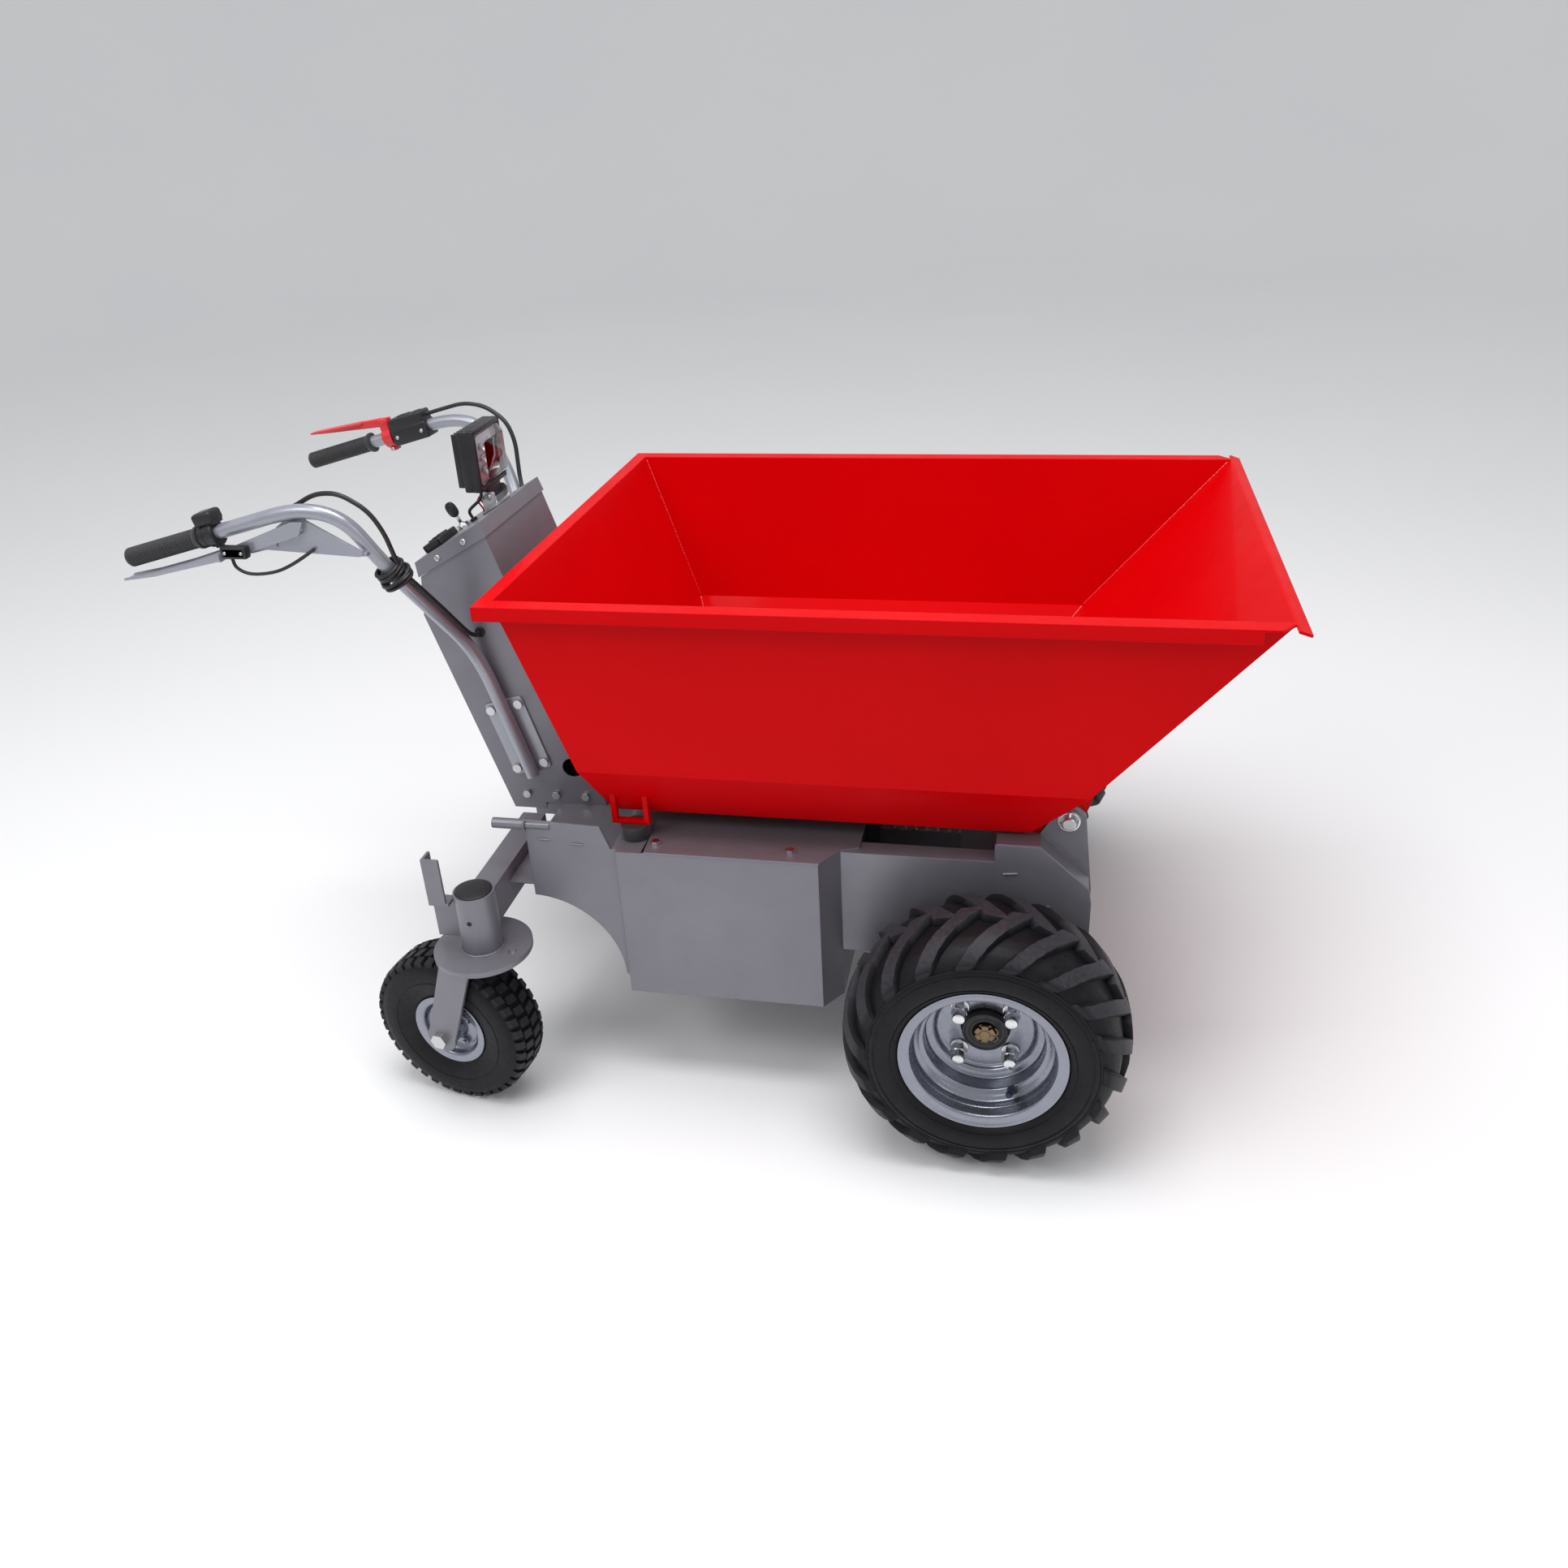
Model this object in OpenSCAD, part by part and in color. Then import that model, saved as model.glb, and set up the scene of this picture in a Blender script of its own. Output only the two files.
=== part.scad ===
// Electric power wheelbarrow: a tipping hopper on a chassis with two drive wheels and two casters.
// +X points forward, to the end that the hopper tips over. Right is -Y, for a driver facing forward.
// Z = 0 is the ground, and every X below is measured from the drive axle.

/* [Drive wheels] */
// Outside diameter of the drive tyre
tyre_d = 404; // [380:1:412]
// Width of the drive tyre
tyre_w = 160; // [140:1:172]
// Distance between the centre planes of the drive wheels
track = 849; // [845:1:900]
// Outside diameter of the rim flange
rim_flange_d = 234; // [226:1:250]
// Pitch circle of the wheel studs
stud_circle_d = 102; // [98:1:108]
// Number of wheel studs
stud_count = 4; // [3:1:6]

/* [Casters] */
// Outside diameter of the caster tyre
caster_d = 262; // [230:1:268]
// Width of the caster tyre
caster_w = 78; // [60:1:84]
// Distance that the caster wheel trails its kingpin
caster_trail = 69; // [50:1:75]
// Angle that the casters are turned to at rest
caster_turn = -10; // [-20:1:20]
// Distance of the kingpins behind the drive axle
wheelbase = 739; // [725:1:760]
// Distance between the two kingpins
kingpin_span = 866; // [850:1:900]
// Outside diameter of the kingpin tube
king_tube_d = 60; // [52:1:62]
// Diameter of the kingpin
king_pin_d = 36; // [30:1:40]
// Diameter of the swivel disc
swivel_disc_d = 145; // [130:1:150]

/* [Hopper] */
// Width over the side lips
hopper_w = 774; // [740:1:790]
// Width between the creases, where the sides turn in
crease_w = 704; // [680:1:710]
// Width of the floor
floor_w = 599; // [560:1:620]
// Height of the rim
rim_z = 803; // [790:1:860]
// Height of the creases
crease_z = 542; // [520:1:600]
// Height of the floor's underside
floor_z = 453.5; // [453:0.5:462]
// Reach of the rim ahead of the axle
rim_front = 350; // [300:1:400]
// Reach of the rim behind the axle
rim_rear = 675; // [640:1:690]
// Reach of the floor ahead of the axle
floor_front = 48.5; // [40:0.5:52]
// Reach of the floor behind the axle
floor_rear = 559.5; // [540:0.5:575]
// Thickness of the hopper sheet
sheet = 3; // [2:0.5:4]
// Angle that the hopper tips through
tip_angle = 60; // [40:1:65]

/* [Chassis] */
// Height of the deck over the batteries
deck_z = 420; // [410:1:424]
// Height of the lower deck under the console column
low_deck_z = 350; // [330:1:352]
// Height of the battery box's underside
box_bottom_z = 169; // [150:1:190]
// Width of the battery box
box_w = 732; // [700:1:736]
// Width over the side panels beside the drive wheels
panel_w = 656; // [640:1:660]
// Distance of the battery box's rear wall behind the axle
box_rear = 541.5; // [535:0.5:560]
// Distance of the battery box's front wall behind the axle
box_front = 216; // [215:1:230]
// Thickness of the chassis plate
plate = 3; // [2:0.5:4]

/* [Hopper pivot] */
// Distance of the pivot ahead of the axle
pivot_x = 101; // [98:1:104]
// Height of the pivot
pivot_z = 472; // [468:1:474]
// Diameter of the pivot pins
pivot_pin_d = 20; // [16:1:24]

/* [Console column] */
// Outside width of the column
column_w = 242; // [220:1:250]
// Height of the column's front top corner
column_top_z = 814; // [790:1:830]
// Sheet thickness of the column
column_sheet = 2.5; // [2:0.5:3]

/* [Handles] */
// Outside diameter of the handle tube
tube_d = 22; // [20:1:25]
// Distance between the grips
grip_span = 534; // [500:1:560]
// Reach of the tube ends behind the axle
grip_reach = 1276; // [1250:1:1320]
// Height of the tube ends
grip_z = 820; // [800:1:850]
// Length of the hand grips
grip_l = 130; // [110:1:132]
// Diameter of the hand grips
grip_d = 29; // [27:1:32]

/* [Hidden] */
$fn = 64;
steel_grey = [0.45, 0.45, 0.48];
hopper_red = [0.78, 0.02, 0.03];
tyre_black = [0.05, 0.05, 0.05];
rim_silver = [0.68, 0.7, 0.73];
plastic_black = [0.07, 0.07, 0.08];
zinc = [0.75, 0.75, 0.76];
gap = 0.3;
fit = 0.05;

lip_out = 13.5;
lever_overhang = 17;
axle_x = round((grip_reach + lever_overhang - rim_front - lip_out) / 2);
axle_z = tyre_d / 2;
wheel_y = track / 2;
disc_y = wheel_y - 3.5;
rim_hw = 68;
king_y = kingpin_span / 2;

// Hopper slopes, as the change of X or Y for each unit of Z
hopper_h = rim_z - floor_z;
front_slope = (rim_front - floor_front) / hopper_h;
rear_slope = (rim_rear - floor_rear) / hopper_h;
wall_top_w = 726;
flange_front = 330;
rear_flange = 18;
lip_h = 20;

// Swivel joint
disc_top_z = 286;
disc_t = 8;
washer_t = 3.7;
king_tube_bottom = disc_top_z + washer_t + gap;
king_tube_top = 382;
cap_seat = 11;
arm_w = 38;
arm_top = 370;
arm_h = 60;
arm_inner_y = 190;
caster_r = caster_d / 2;
fork_in_y = caster_w / 2 + 7;
fork_t = 6;

// Pivot cheeks
cheek_y = 290;
cheek_t = 6;
cheek_r = 24;
cheek_rear = 3;
cheek_top = deck_z + 27;
nose_x = 137;
tray_z = 285;
panel_bottom = 250;
lug_t = 8;
hex_bolt_d = 8;
skirt_in = 6;

// Hopper rests
rest_x = -523;
rest_y = floor_w / 2 + 17.5;
rest_d = 44;
rest_top = 442;

// Column outline, from the rear lower corner round to the front top corner
column_back_z = 680;
column_foot_front = 640;
column_lean = (782 - column_foot_front) / (column_top_z - low_deck_z);
cap_slope = 29.5;
cap_x = -903;
cap_z = 767.4;
cap_len = 134.5;
cap_front_x = cap_x + cap_len * cos(cap_slope);
cap_front_z = cap_z + cap_len * sin(cap_slope);
cap_h = 24;
cap_t = 2;
cap_clear = 0.3;
foot_bolt_x = [-777, -726, -675];
foot_bolt_z = 366;
bracket_x = -777;
bracket_z = 474;
bracket_turn = -16;
bracket_bolts = [for (u = [-25, 25], v = [-54, 54]) [u, v]];

// Handle tube
tube_r = tube_d / 2;
grip_y = grip_span / 2;
handle_slope = 15;
handle_bend_x = 940;
handle_bend_z = grip_z + (grip_reach - handle_bend_x) * tan(handle_slope);
tube_y = column_w / 2 + plate + tube_r - 0.5;
handle_route = [[-756, -tube_y, 407], [-820, -tube_y, 628], [-880, -grip_y + 31, 792],
    [-handle_bend_x, -grip_y, handle_bend_z], [-grip_reach, -grip_y, grip_z]];
handle_cuts = [0, 60, 40, 97, 0];

// Lever pivots
stop_lever_at = [-1040, -grip_y, 848];
brake_lever_s = 167;
brake_lever_h = 27;
lamp_at = [-816, 15, 838];

// Cable routes
column_drop = [[-887, 894, 259], [-872, 860, 252], [-866, 796, 236], [-853, 765, 216],
    [-835, 716, 185], [-817, 666, 155], [-814, 655, 137], [-814, 655, 125.4]];
function drop_route(side) = [for (p = column_drop) [p[0], side * p[2], p[1]]];
throttle_route = concat([[-1122.8, -251.5, 861], [-1060, -251.5, 878], [-1010, -251.5, 892],
    [-966, -254, 915], [-926, -260, 918]], drop_route(-1));
switch_route = concat([[-1038.5, 267, 904.4], [-1010, 267, 912], [-966, 268, 923],
    [-926, 266, 918]], drop_route(1));
stop_route = [[-1100, -284, 827.5], [-1097, -286, 814], [-1080, -287, 805], [-1057, -286, 804.4],
    [-1030, -285, 809], [-1007, -283, 819], [-986, -277, 831], [-974, -271.6, 839]];
lamp_route = [[-820, -27, 849], [-822, -27, 840], [-838, -22, 828], [-854, -12, 815.2],
    [-848.3, -12, 804.6]];

// ---- Shared shapes ----

module from_axle() {
    translate([axle_x, 0, 0]) children();
}

module both_sides() {
    children();
    mirror([0, 1, 0]) children();
}

// An outline in X and Z, extruded across the machine about the mid-plane
module across(outline, width) {
    rotate([90, 0, 0]) linear_extrude(width, center = true) polygon(outline);
}

// An outline in X and Z as a plate whose outer face is at -y, t thick towards the mid-plane
module side_sheet(outline, y, t) {
    translate([0, t - y, 0]) rotate([90, 0, 0]) linear_extrude(t) polygon(outline);
}

module box(x0, x1, y0, y1, z0, z1) {
    translate([x0, y0, z0]) cube([x1 - x0, y1 - y0, z1 - z0]);
}

module rod_x(x0, x1, d) {
    translate([x0, 0, 0]) rotate([0, 90, 0]) cylinder(d = d, h = x1 - x0);
}

module rod_y(y0, y1, d) {
    translate([0, y0, 0]) rotate([-90, 0, 0]) cylinder(d = d, h = y1 - y0);
}

function arc(cx, cy, r, from, to, n) =
    [for (i = [0:n]) let (a = from + (to - from) * i / n) [cx + r * cos(a), cy + r * sin(a)]];
function unit(v) = v / norm(v);

// A route with each inner corner replaced by a curve that starts its cut before the corner
function curve_at(route, i, cut, n) =
    let (a = route[i] + unit(route[i - 1] - route[i]) * min(cut, norm(route[i - 1] - route[i]) * 0.49),
        c = route[i] + unit(route[i + 1] - route[i]) * min(cut, norm(route[i + 1] - route[i]) * 0.49))
    [for (k = [0:n]) let (t = k / n) a * (1 - t) ^ 2 + route[i] * 2 * t * (1 - t) + c * t ^ 2];
function smooth(route, cuts, n) =
    [route[0], for (i = [1:len(route) - 2]) each curve_at(route, i, cuts[i], n), route[len(route) - 1]];

// A round tube along a path, as rings square to the path
function heading(path, i) =
    unit(path[min(i + 1, len(path) - 1)] - path[max(i - 1, 0)]);
function ring(centre, dir, r, sides) =
    let (across_dir = unit(cross(dir, [0.12, 0.31, 0.94])), up_dir = cross(across_dir, dir))
    [for (k = [0:sides - 1]) centre + r * (cos(360 * k / sides) * across_dir + sin(360 * k / sides) * up_dir)];

module swept_tube(path, r, sides) {
    last = len(path) - 1;
    points = [for (i = [0:last]) each ring(path[i], heading(path, i), r, sides)];
    walls = [for (i = [0:last - 1], k = [0:sides - 1])
        let (a = i * sides + k, b = i * sides + (k + 1) % sides) [a, b, b + sides, a + sides]];
    polyhedron(points, concat([[for (k = [sides - 1:-1:0]) k]], walls,
        [[for (k = [0:sides - 1]) last * sides + k]]), convexity = 6);
}

module cable(route, d) {
    swept_tube(smooth(route, [for (p = route) 14], 1), d / 2, 8);
}

// A rectangular tube lying along Y, open at its ends
module hollow_y(x0, x1, y0, y1, z0, z1, t) {
    difference() {
        box(x0, x1, y0, y1, z0, z1);
        box(x0 + t, x1 - t, y0 - 1, y1 - t, z0 + t, z1 - t);
    }
}

module hollow_x(x0, x1, y0, y1, z0, z1, t) {
    difference() {
        box(x0, x1, y0, y1, z0, z1);
        box(x0 - 1, x1 - t, y0 + t, y1 - t, z0 + t, z1 - t);
    }
}

// A frame whose X runs up the sloping end of the handle tube, s from the tube's end
module on_handle(s) {
    translate([-grip_reach, -grip_y, grip_z]) rotate([0, -handle_slope, 0]) translate([s, 0, 0]) children();
}

// A frame on the sloping top of the console, u up the slope from its rear edge and v across
module on_console(u, v) {
    translate([cap_x, 0, cap_z]) rotate([0, -cap_slope, 0]) translate([u, v, 0]) children();
}

module at_kingpin() {
    translate([-wheelbase, -king_y, 0]) children();
}

// Parts that turn with the right caster, in the caster's own frame
module with_caster() {
    at_kingpin() rotate([0, 0, caster_turn]) children();
}

// The left caster is the right one moved across, so both trail the same way
module left_caster() {
    translate([0, kingpin_span, 0]) children();
}

module at_pivot() {
    translate([pivot_x, 0, pivot_z]) children();
}

// ---- Chassis frame ----

module king_tube_and_arm() {
    difference() {
        union() {
            hollow_y(-wheelbase - arm_w / 2, -wheelbase + arm_w / 2, -king_y, -arm_inner_y,
                arm_top - arm_h, arm_top, plate);
            at_kingpin() translate([0, 0, king_tube_bottom])
                cylinder(d = king_tube_d, h = king_tube_top - king_tube_bottom);
        }
        at_kingpin() translate([0, 0, king_tube_bottom - 1]) cylinder(d = king_pin_d + 2 * fit, h = 100);
        at_kingpin() translate([0, 0, king_tube_top - cap_seat]) cylinder(d = king_tube_d - 6, h = 20);
    }
}

module rear_rail() {
    hollow_x(-wheelbase + arm_w / 2 - 1, -box_rear, -cheek_y, -cheek_y + 60,
        arm_top - arm_h, low_deck_z - 1, plate);
}

// The low deck, with a ramp up to the battery deck
module rear_deck() {
    tail = -wheelbase + arm_w / 2 + 2;
    across([[tail, low_deck_z - plate], [-639, low_deck_z - plate], [-548, deck_z - plate],
        [-box_rear, deck_z - plate], [-box_rear, deck_z], [-549, deck_z], [-640, low_deck_z],
        [tail, low_deck_z]], box_w - 2 * (skirt_in + plate) - 0.2);
}

module tongue() {
    foot_y = column_w / 2 - column_sheet - 0.1;
    hollow_x(-795, -box_rear, -60, 60, low_deck_z - 60, low_deck_z - 1, plate);
    box(-800, -700, -foot_y, foot_y, low_deck_z - 6, low_deck_z);
    both_sides() difference() {
        box(-795, -655, -foot_y, -foot_y + 4, low_deck_z - 3, low_deck_z + 32);
        for (x = foot_bolt_x)
            translate([x, 0, foot_bolt_z]) rod_y(-foot_y - 1, -foot_y + 5, hex_bolt_d + 1);
    }
}

module pivot_cheek() {
    difference() {
        union() {
            side_sheet([[cheek_rear, panel_bottom], [cheek_rear, cheek_top], [62, cheek_top],
                [pivot_x - cheek_r, pivot_z], [pivot_x + cheek_r, pivot_z], [nose_x, 361],
                [nose_x, panel_bottom]], cheek_y, cheek_t);
            at_pivot() rod_y(-cheek_y, cheek_t - cheek_y, cheek_r * 2);
        }
        at_pivot() rod_y(-cheek_y - 1, cheek_t - cheek_y + 1, pivot_pin_d + 2 * fit);
    }
    side_sheet([[cheek_rear, panel_bottom], [cheek_rear, cheek_top], [64, cheek_top], [133, 383],
        [nose_x, 361], [nose_x, panel_bottom]], panel_w / 2, plate);
    side_sheet([[cheek_rear, cheek_top], [64, cheek_top], [133, 383], [130.9, 380.9],
        [62.8, cheek_top - plate], [cheek_rear, cheek_top - plate]],
        panel_w / 2 - 1, panel_w / 2 - cheek_y - 0.5);
}

module front_tray() {
    box(-box_front, 124, 0.1 + plate - panel_w / 2, panel_w / 2 - plate - 0.1, tray_z, tray_z + plate);
    difference() {
        box(122, 125, -cheek_y + 1, cheek_y - 1, panel_bottom, 440);
        for (y = [-265, 265])
            translate([0, y, 335]) rod_x(120, 127, hex_bolt_d + 1);
    }
}

module chassis_frame() {
    color(steel_grey) from_axle() {
        both_sides() {
            king_tube_and_arm();
            rear_rail();
            pivot_cheek();
        }
        rear_deck();
        tongue();
        front_tray();
    }
}

// ---- Sheet-metal tub ----

module box_plan(inset) {
    hw = box_w / 2 - inset;
    pw = panel_w / 2 - inset;
    polygon([[-box_rear + inset, -hw], [-box_front - 26, -hw], [-box_front - inset, -pw],
        [-box_front - inset, pw], [-box_front - 26, hw], [-box_rear + inset, hw]]);
}

module battery_box() {
    difference() {
        translate([0, 0, box_bottom_z]) linear_extrude(deck_z - box_bottom_z) box_plan(0);
        translate([0, 0, box_bottom_z + plate]) linear_extrude(deck_z) box_plan(plate);
    }
    box(-box_rear, -503, -box_w / 2 + 1, box_w / 2 - 1, deck_z - plate, deck_z);
}

// Side skirt, cut away in an arc so that the caster can swing past
module skirt() {
    difference() {
        side_sheet([[-678, 196], [-678, 462], [-563, 457], [-550, deck_z], [1 - box_rear, deck_z],
            [1 - box_rear, 196]], box_w / 2 - skirt_in, plate);
        translate([-683, 0, 196]) rod_y(-box_w / 2, -box_w / 2 + 12, 270);
    }
}

module tie_down_peg() {
    translate([0, -box_w / 2 + 9, 452]) {
        rod_x(-728, -680, 16);
        rod_x(-681, -640, 12);
    }
}

module side_panel() {
    difference() {
        union() {
            box(-box_front - 1, cheek_rear, -panel_w / 2, plate - panel_w / 2, panel_bottom, deck_z);
            box(-box_front - 1, cheek_rear, -panel_w / 2, 31 - panel_w / 2, deck_z - plate, deck_z);
        }
    }
}

module chassis_tub() {
    color(steel_grey) from_axle() {
        battery_box();
        both_sides() {
            skirt();
            tie_down_peg();
            side_panel();
        }
    }
}

cover_bolt_at = [[-486, 342], [-286, 342]];

module battery_cover() {
    hw = box_w / 2 + 1;
    color(steel_grey) from_axle() difference() {
        translate([0, 0, deck_z]) linear_extrude(plate) polygon([[-498, -hw], [-box_front - 25, -hw],
            [-box_front, -panel_w / 2], [-190, 11 - panel_w / 2], [-190, panel_w / 2 - 11],
            [-box_front, panel_w / 2], [-box_front - 25, hw], [-498, hw], [-503, 275], [-503, -275]]);
        both_sides() for (p = cover_bolt_at)
            translate([p[0], -p[1], deck_z - 1]) cylinder(d = hex_bolt_d + 1, h = 6);
    }
}

// A hex-head bolt that seats on Z = 0 with its shank pointing down
module hex_bolt(shank) {
    cylinder(d = 14.4, h = 5.5, $fn = 6);
    translate([0, 0, -shank]) cylinder(d = hex_bolt_d, h = shank + 1);
}

module hex_bolts() {
    color(zinc) from_axle() both_sides() {
        for (p = cover_bolt_at)
            translate([p[0], -p[1], deck_z + plate]) hex_bolt(14);
        for (x = foot_bolt_x)
            translate([x, -column_w / 2, foot_bolt_z]) rotate([90, 0, 0]) hex_bolt(12);
        translate([125, -265, 335]) rotate([0, 90, 0]) hex_bolt(12);
        at_kingpin() translate([-64.5, -3, 385]) rotate([0, -90, 0]) hex_bolt(10);
    }
}

module batteries() {
    color([0.16, 0.17, 0.2]) from_axle() for (y = [-267, -89, 89, 267])
        translate([0, y, 0]) {
            box(-510, -250, -84, 84, box_bottom_z + plate, 375);
            for (x = [-490, -270])
                translate([x, 60, 374]) cylinder(d = 16, h = 16);
        }
}

module motor_controller() {
    floor_of = tray_z + plate;
    color([0.6, 0.6, 0.62]) from_axle() {
        box(-190, -60, -95, 95, floor_of, floor_of + 34);
        for (i = [0:7])
            box(-186 + i * 17.5, -182 + i * 17.5, -90, 90, floor_of + 33, floor_of + 54);
    }
}

// ---- Drive line ----

module transaxle() {
    color([0.3, 0.3, 0.32]) from_axle() difference() {
        union() {
            translate([0, 0, axle_z]) {
                rod_y(-62, 62, 150);
                both_sides() {
                    rod_y(-352, -55, 56);
                    rod_y(-352, -338, 100);
                }
                box(-80, -50, -50, 50, -50, 50);
            }
            both_sides() box(-32, 32, -230, -170, axle_z, tray_z);
        }
        translate([0, 0, axle_z]) both_sides() rod_y(-360, -200, 30 + 2 * fit);
    }
}

module drive_motor() {
    color([0.2, 0.2, 0.22]) from_axle() translate([0, 0, axle_z]) {
        rod_x(-204, -80, 120);
        rod_x(-210, -203, 96);
    }
}

// Half outline of a tyre, from its bead out to the crown: radius against distance from the centre plane
function tyre_half(r, w, bead_r, bead_hw, flange_r, flange_hw) =
    let (shoulder = w * 0.16, belly = w * 0.36)
    concat([[bead_r, bead_hw], [flange_r, flange_hw]],
        arc(bead_r + (r - bead_r) * 0.45, w / 2 - belly, belly, 105, 70, 4),
        arc(r - shoulder, w / 2 - shoulder, shoulder, 60, 0, 5));

module tyre_section(half, air_at, air_r) {
    last = len(half) - 1;
    difference() {
        polygon(concat(half, [for (i = [last:-1:0]) [half[i][0], -half[i][1]]]));
        translate([air_at, 0]) circle(r = air_r, $fn = 32);
    }
}

module drive_tyre() {
    color(tyre_black) translate([0, -wheel_y, axle_z]) rotate([90, 0, 0])
        rotate_extrude($fn = 96) tyre_section(tyre_half(tyre_d / 2, tyre_w, rim_flange_d / 2 - 15,
            rim_hw - 3 - gap, rim_flange_d / 2 + 1, rim_hw - gap), rim_flange_d / 2 + 16, 36);
}

// Rim section: radius against distance outboard of the wheel's centre plane
module rim_section() {
    flange_r = rim_flange_d / 2;
    seat_r = flange_r - 15.3;
    well_r = flange_r - 32;
    hw = rim_hw;
    face = disc_y - wheel_y;
    polygon([[flange_r, -hw - 3], [flange_r, -hw], [seat_r, 3 - hw], [seat_r, -40], [well_r, -28],
        [well_r, 24], [seat_r, 38], [seat_r, hw - 3], [flange_r, hw], [flange_r, hw + 3],
        [seat_r - 3, hw], [seat_r - 3, 39], [well_r - 3, 26], [well_r - 3, face], [34, face],
        [34, face - 4], [well_r - 3, face - 4], [well_r - 3, -29], [seat_r - 3, -41], [seat_r - 3, -hw]]);
}

module at_studs() {
    for (i = [0:stud_count - 1])
        rotate([0, 360 / stud_count * (i + 0.5), 0]) translate([stud_circle_d / 2, 0, 0]) children();
}

module drive_rim() {
    color(rim_silver) difference() {
        translate([0, -wheel_y, axle_z]) rotate([90, 0, 0]) rotate_extrude($fn = 96) rim_section();
        translate([0, 0, axle_z]) at_studs() rod_y(-disc_y - 20, -disc_y + 20, 13);
    }
}

module drive_hub() {
    color(plastic_black) translate([0, 0, axle_z]) {
        rod_y(-disc_y - 4, -352 - gap, 66);
        rod_y(gap + 4 - disc_y, 12 - disc_y, 140);
        rod_y(-354, -210, 30);
        at_studs() rod_y(-disc_y - 12, 5 - disc_y, 12);
    }
}

module wheel_nuts() {
    color(zinc) translate([0, 0, axle_z]) {
        at_studs() difference() {
            union() {
                rotate([90, 0, 0]) translate([0, 0, disc_y]) cylinder(d = 22, h = 16, $fn = 6);
                rod_y(-disc_y - 28, -disc_y - 15, 16);
            }
            rod_y(-disc_y - 14, -disc_y + 1, 12.2);
        }
        difference() {
            rotate([90, 0, 0]) translate([0, 0, disc_y + 4]) cylinder(d = 34, h = 13, $fn = 12);
            for (a = [0, 60, 120])
                rotate([0, a, 0]) box(-20, 20, -disc_y - 20, -disc_y - 12, -2.5, 2.5);
        }
        rod_y(-disc_y - 19, -disc_y - 4, 18);
    }
}

module drive_tyre_right() { from_axle() drive_tyre(); }
module drive_rim_right() { from_axle() drive_rim(); }
module drive_hub_right() { from_axle() drive_hub(); }
module wheel_nuts_right() { from_axle() wheel_nuts(); }
module drive_tyre_left() { mirror([0, 1, 0]) drive_tyre_right(); }
module drive_rim_left() { mirror([0, 1, 0]) drive_rim_right(); }
module drive_hub_left() { mirror([0, 1, 0]) drive_hub_right(); }
module wheel_nuts_left() { mirror([0, 1, 0]) wheel_nuts_right(); }

// ---- Casters ----

module caster_fork() {
    color(steel_grey) with_caster() difference() {
        union() {
            translate([0, 0, disc_top_z - disc_t]) cylinder(d = swivel_disc_d, h = disc_t);
            translate([0, 0, disc_top_z - 1]) cylinder(d = king_tube_d, h = washer_t + 1);
            translate([0, 0, disc_top_z]) cylinder(d = king_pin_d, h = king_tube_top - cap_seat - disc_top_z - 3);
            both_sides() {
                side_sheet([[-42, disc_top_z - 1], [10, disc_top_z - 1], [-caster_trail + 24, caster_r],
                    [-caster_trail - 24, caster_r]], fork_in_y + fork_t, fork_t);
                translate([-caster_trail, 0, caster_r]) rod_y(-fork_in_y - fork_t, -fork_in_y, 48);
            }
        }
        translate([-caster_trail, 0, caster_r]) rod_y(-90, 90, 16 + 2 * fit);
        translate([51, -2, disc_top_z - 20]) cylinder(d = 12, h = 40);
    }
}

module caster_bolt() {
    outer = fork_in_y + fork_t;
    color(zinc) with_caster() translate([-caster_trail, 0, caster_r]) {
        rod_y(-outer - 1, outer + 1, 16);
        rotate([90, 0, 0]) translate([0, 0, outer]) cylinder(d = 27, h = 10, $fn = 6);
        rotate([-90, 0, 0]) translate([0, 0, outer]) cylinder(d = 27, h = 13, $fn = 6);
    }
}

module caster_tyre() {
    color(tyre_black) with_caster() translate([-caster_trail, 0, caster_r]) rotate([90, 0, 0])
        rotate_extrude($fn = 96) tyre_section(tyre_half(caster_r, caster_w, 51, 23.7, 63, 30.2), 76, 24);
}

module caster_rim() {
    hub_w = 2 * fork_in_y - 1;
    color(rim_silver) with_caster() translate([-caster_trail, 0, caster_r]) rotate([90, 0, 0])
        rotate_extrude($fn = 96)
            polygon([[8 + fit, -hub_w / 2], [20, -hub_w / 2], [20, -8], [44, -12], [44, -26], [59, -32],
                [62, -30], [50.7, -24], [50.7, 24], [62, 30], [59, 32], [44, 26], [44, 12], [20, 8],
                [20, hub_w / 2], [8 + fit, hub_w / 2]]);
}

module caster_fork_right() { from_axle() caster_fork(); }
module caster_bolt_right() { from_axle() caster_bolt(); }
module caster_tyre_right() { from_axle() caster_tyre(); }
module caster_rim_right() { from_axle() caster_rim(); }
module caster_fork_left() { left_caster() caster_fork_right(); }
module caster_bolt_left() { left_caster() caster_bolt_right(); }
module caster_tyre_left() { left_caster() caster_tyre_right(); }
module caster_rim_left() { left_caster() caster_rim_right(); }

module kingpin_caps() {
    color(plastic_black) from_axle() both_sides() at_kingpin() {
        translate([0, 0, king_tube_top - cap_seat + 3]) cylinder(d = king_tube_d - 6.2, h = cap_seat - 2);
        translate([0, 0, king_tube_top]) cylinder(d = king_tube_d - 5, h = 3);
    }
}

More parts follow.
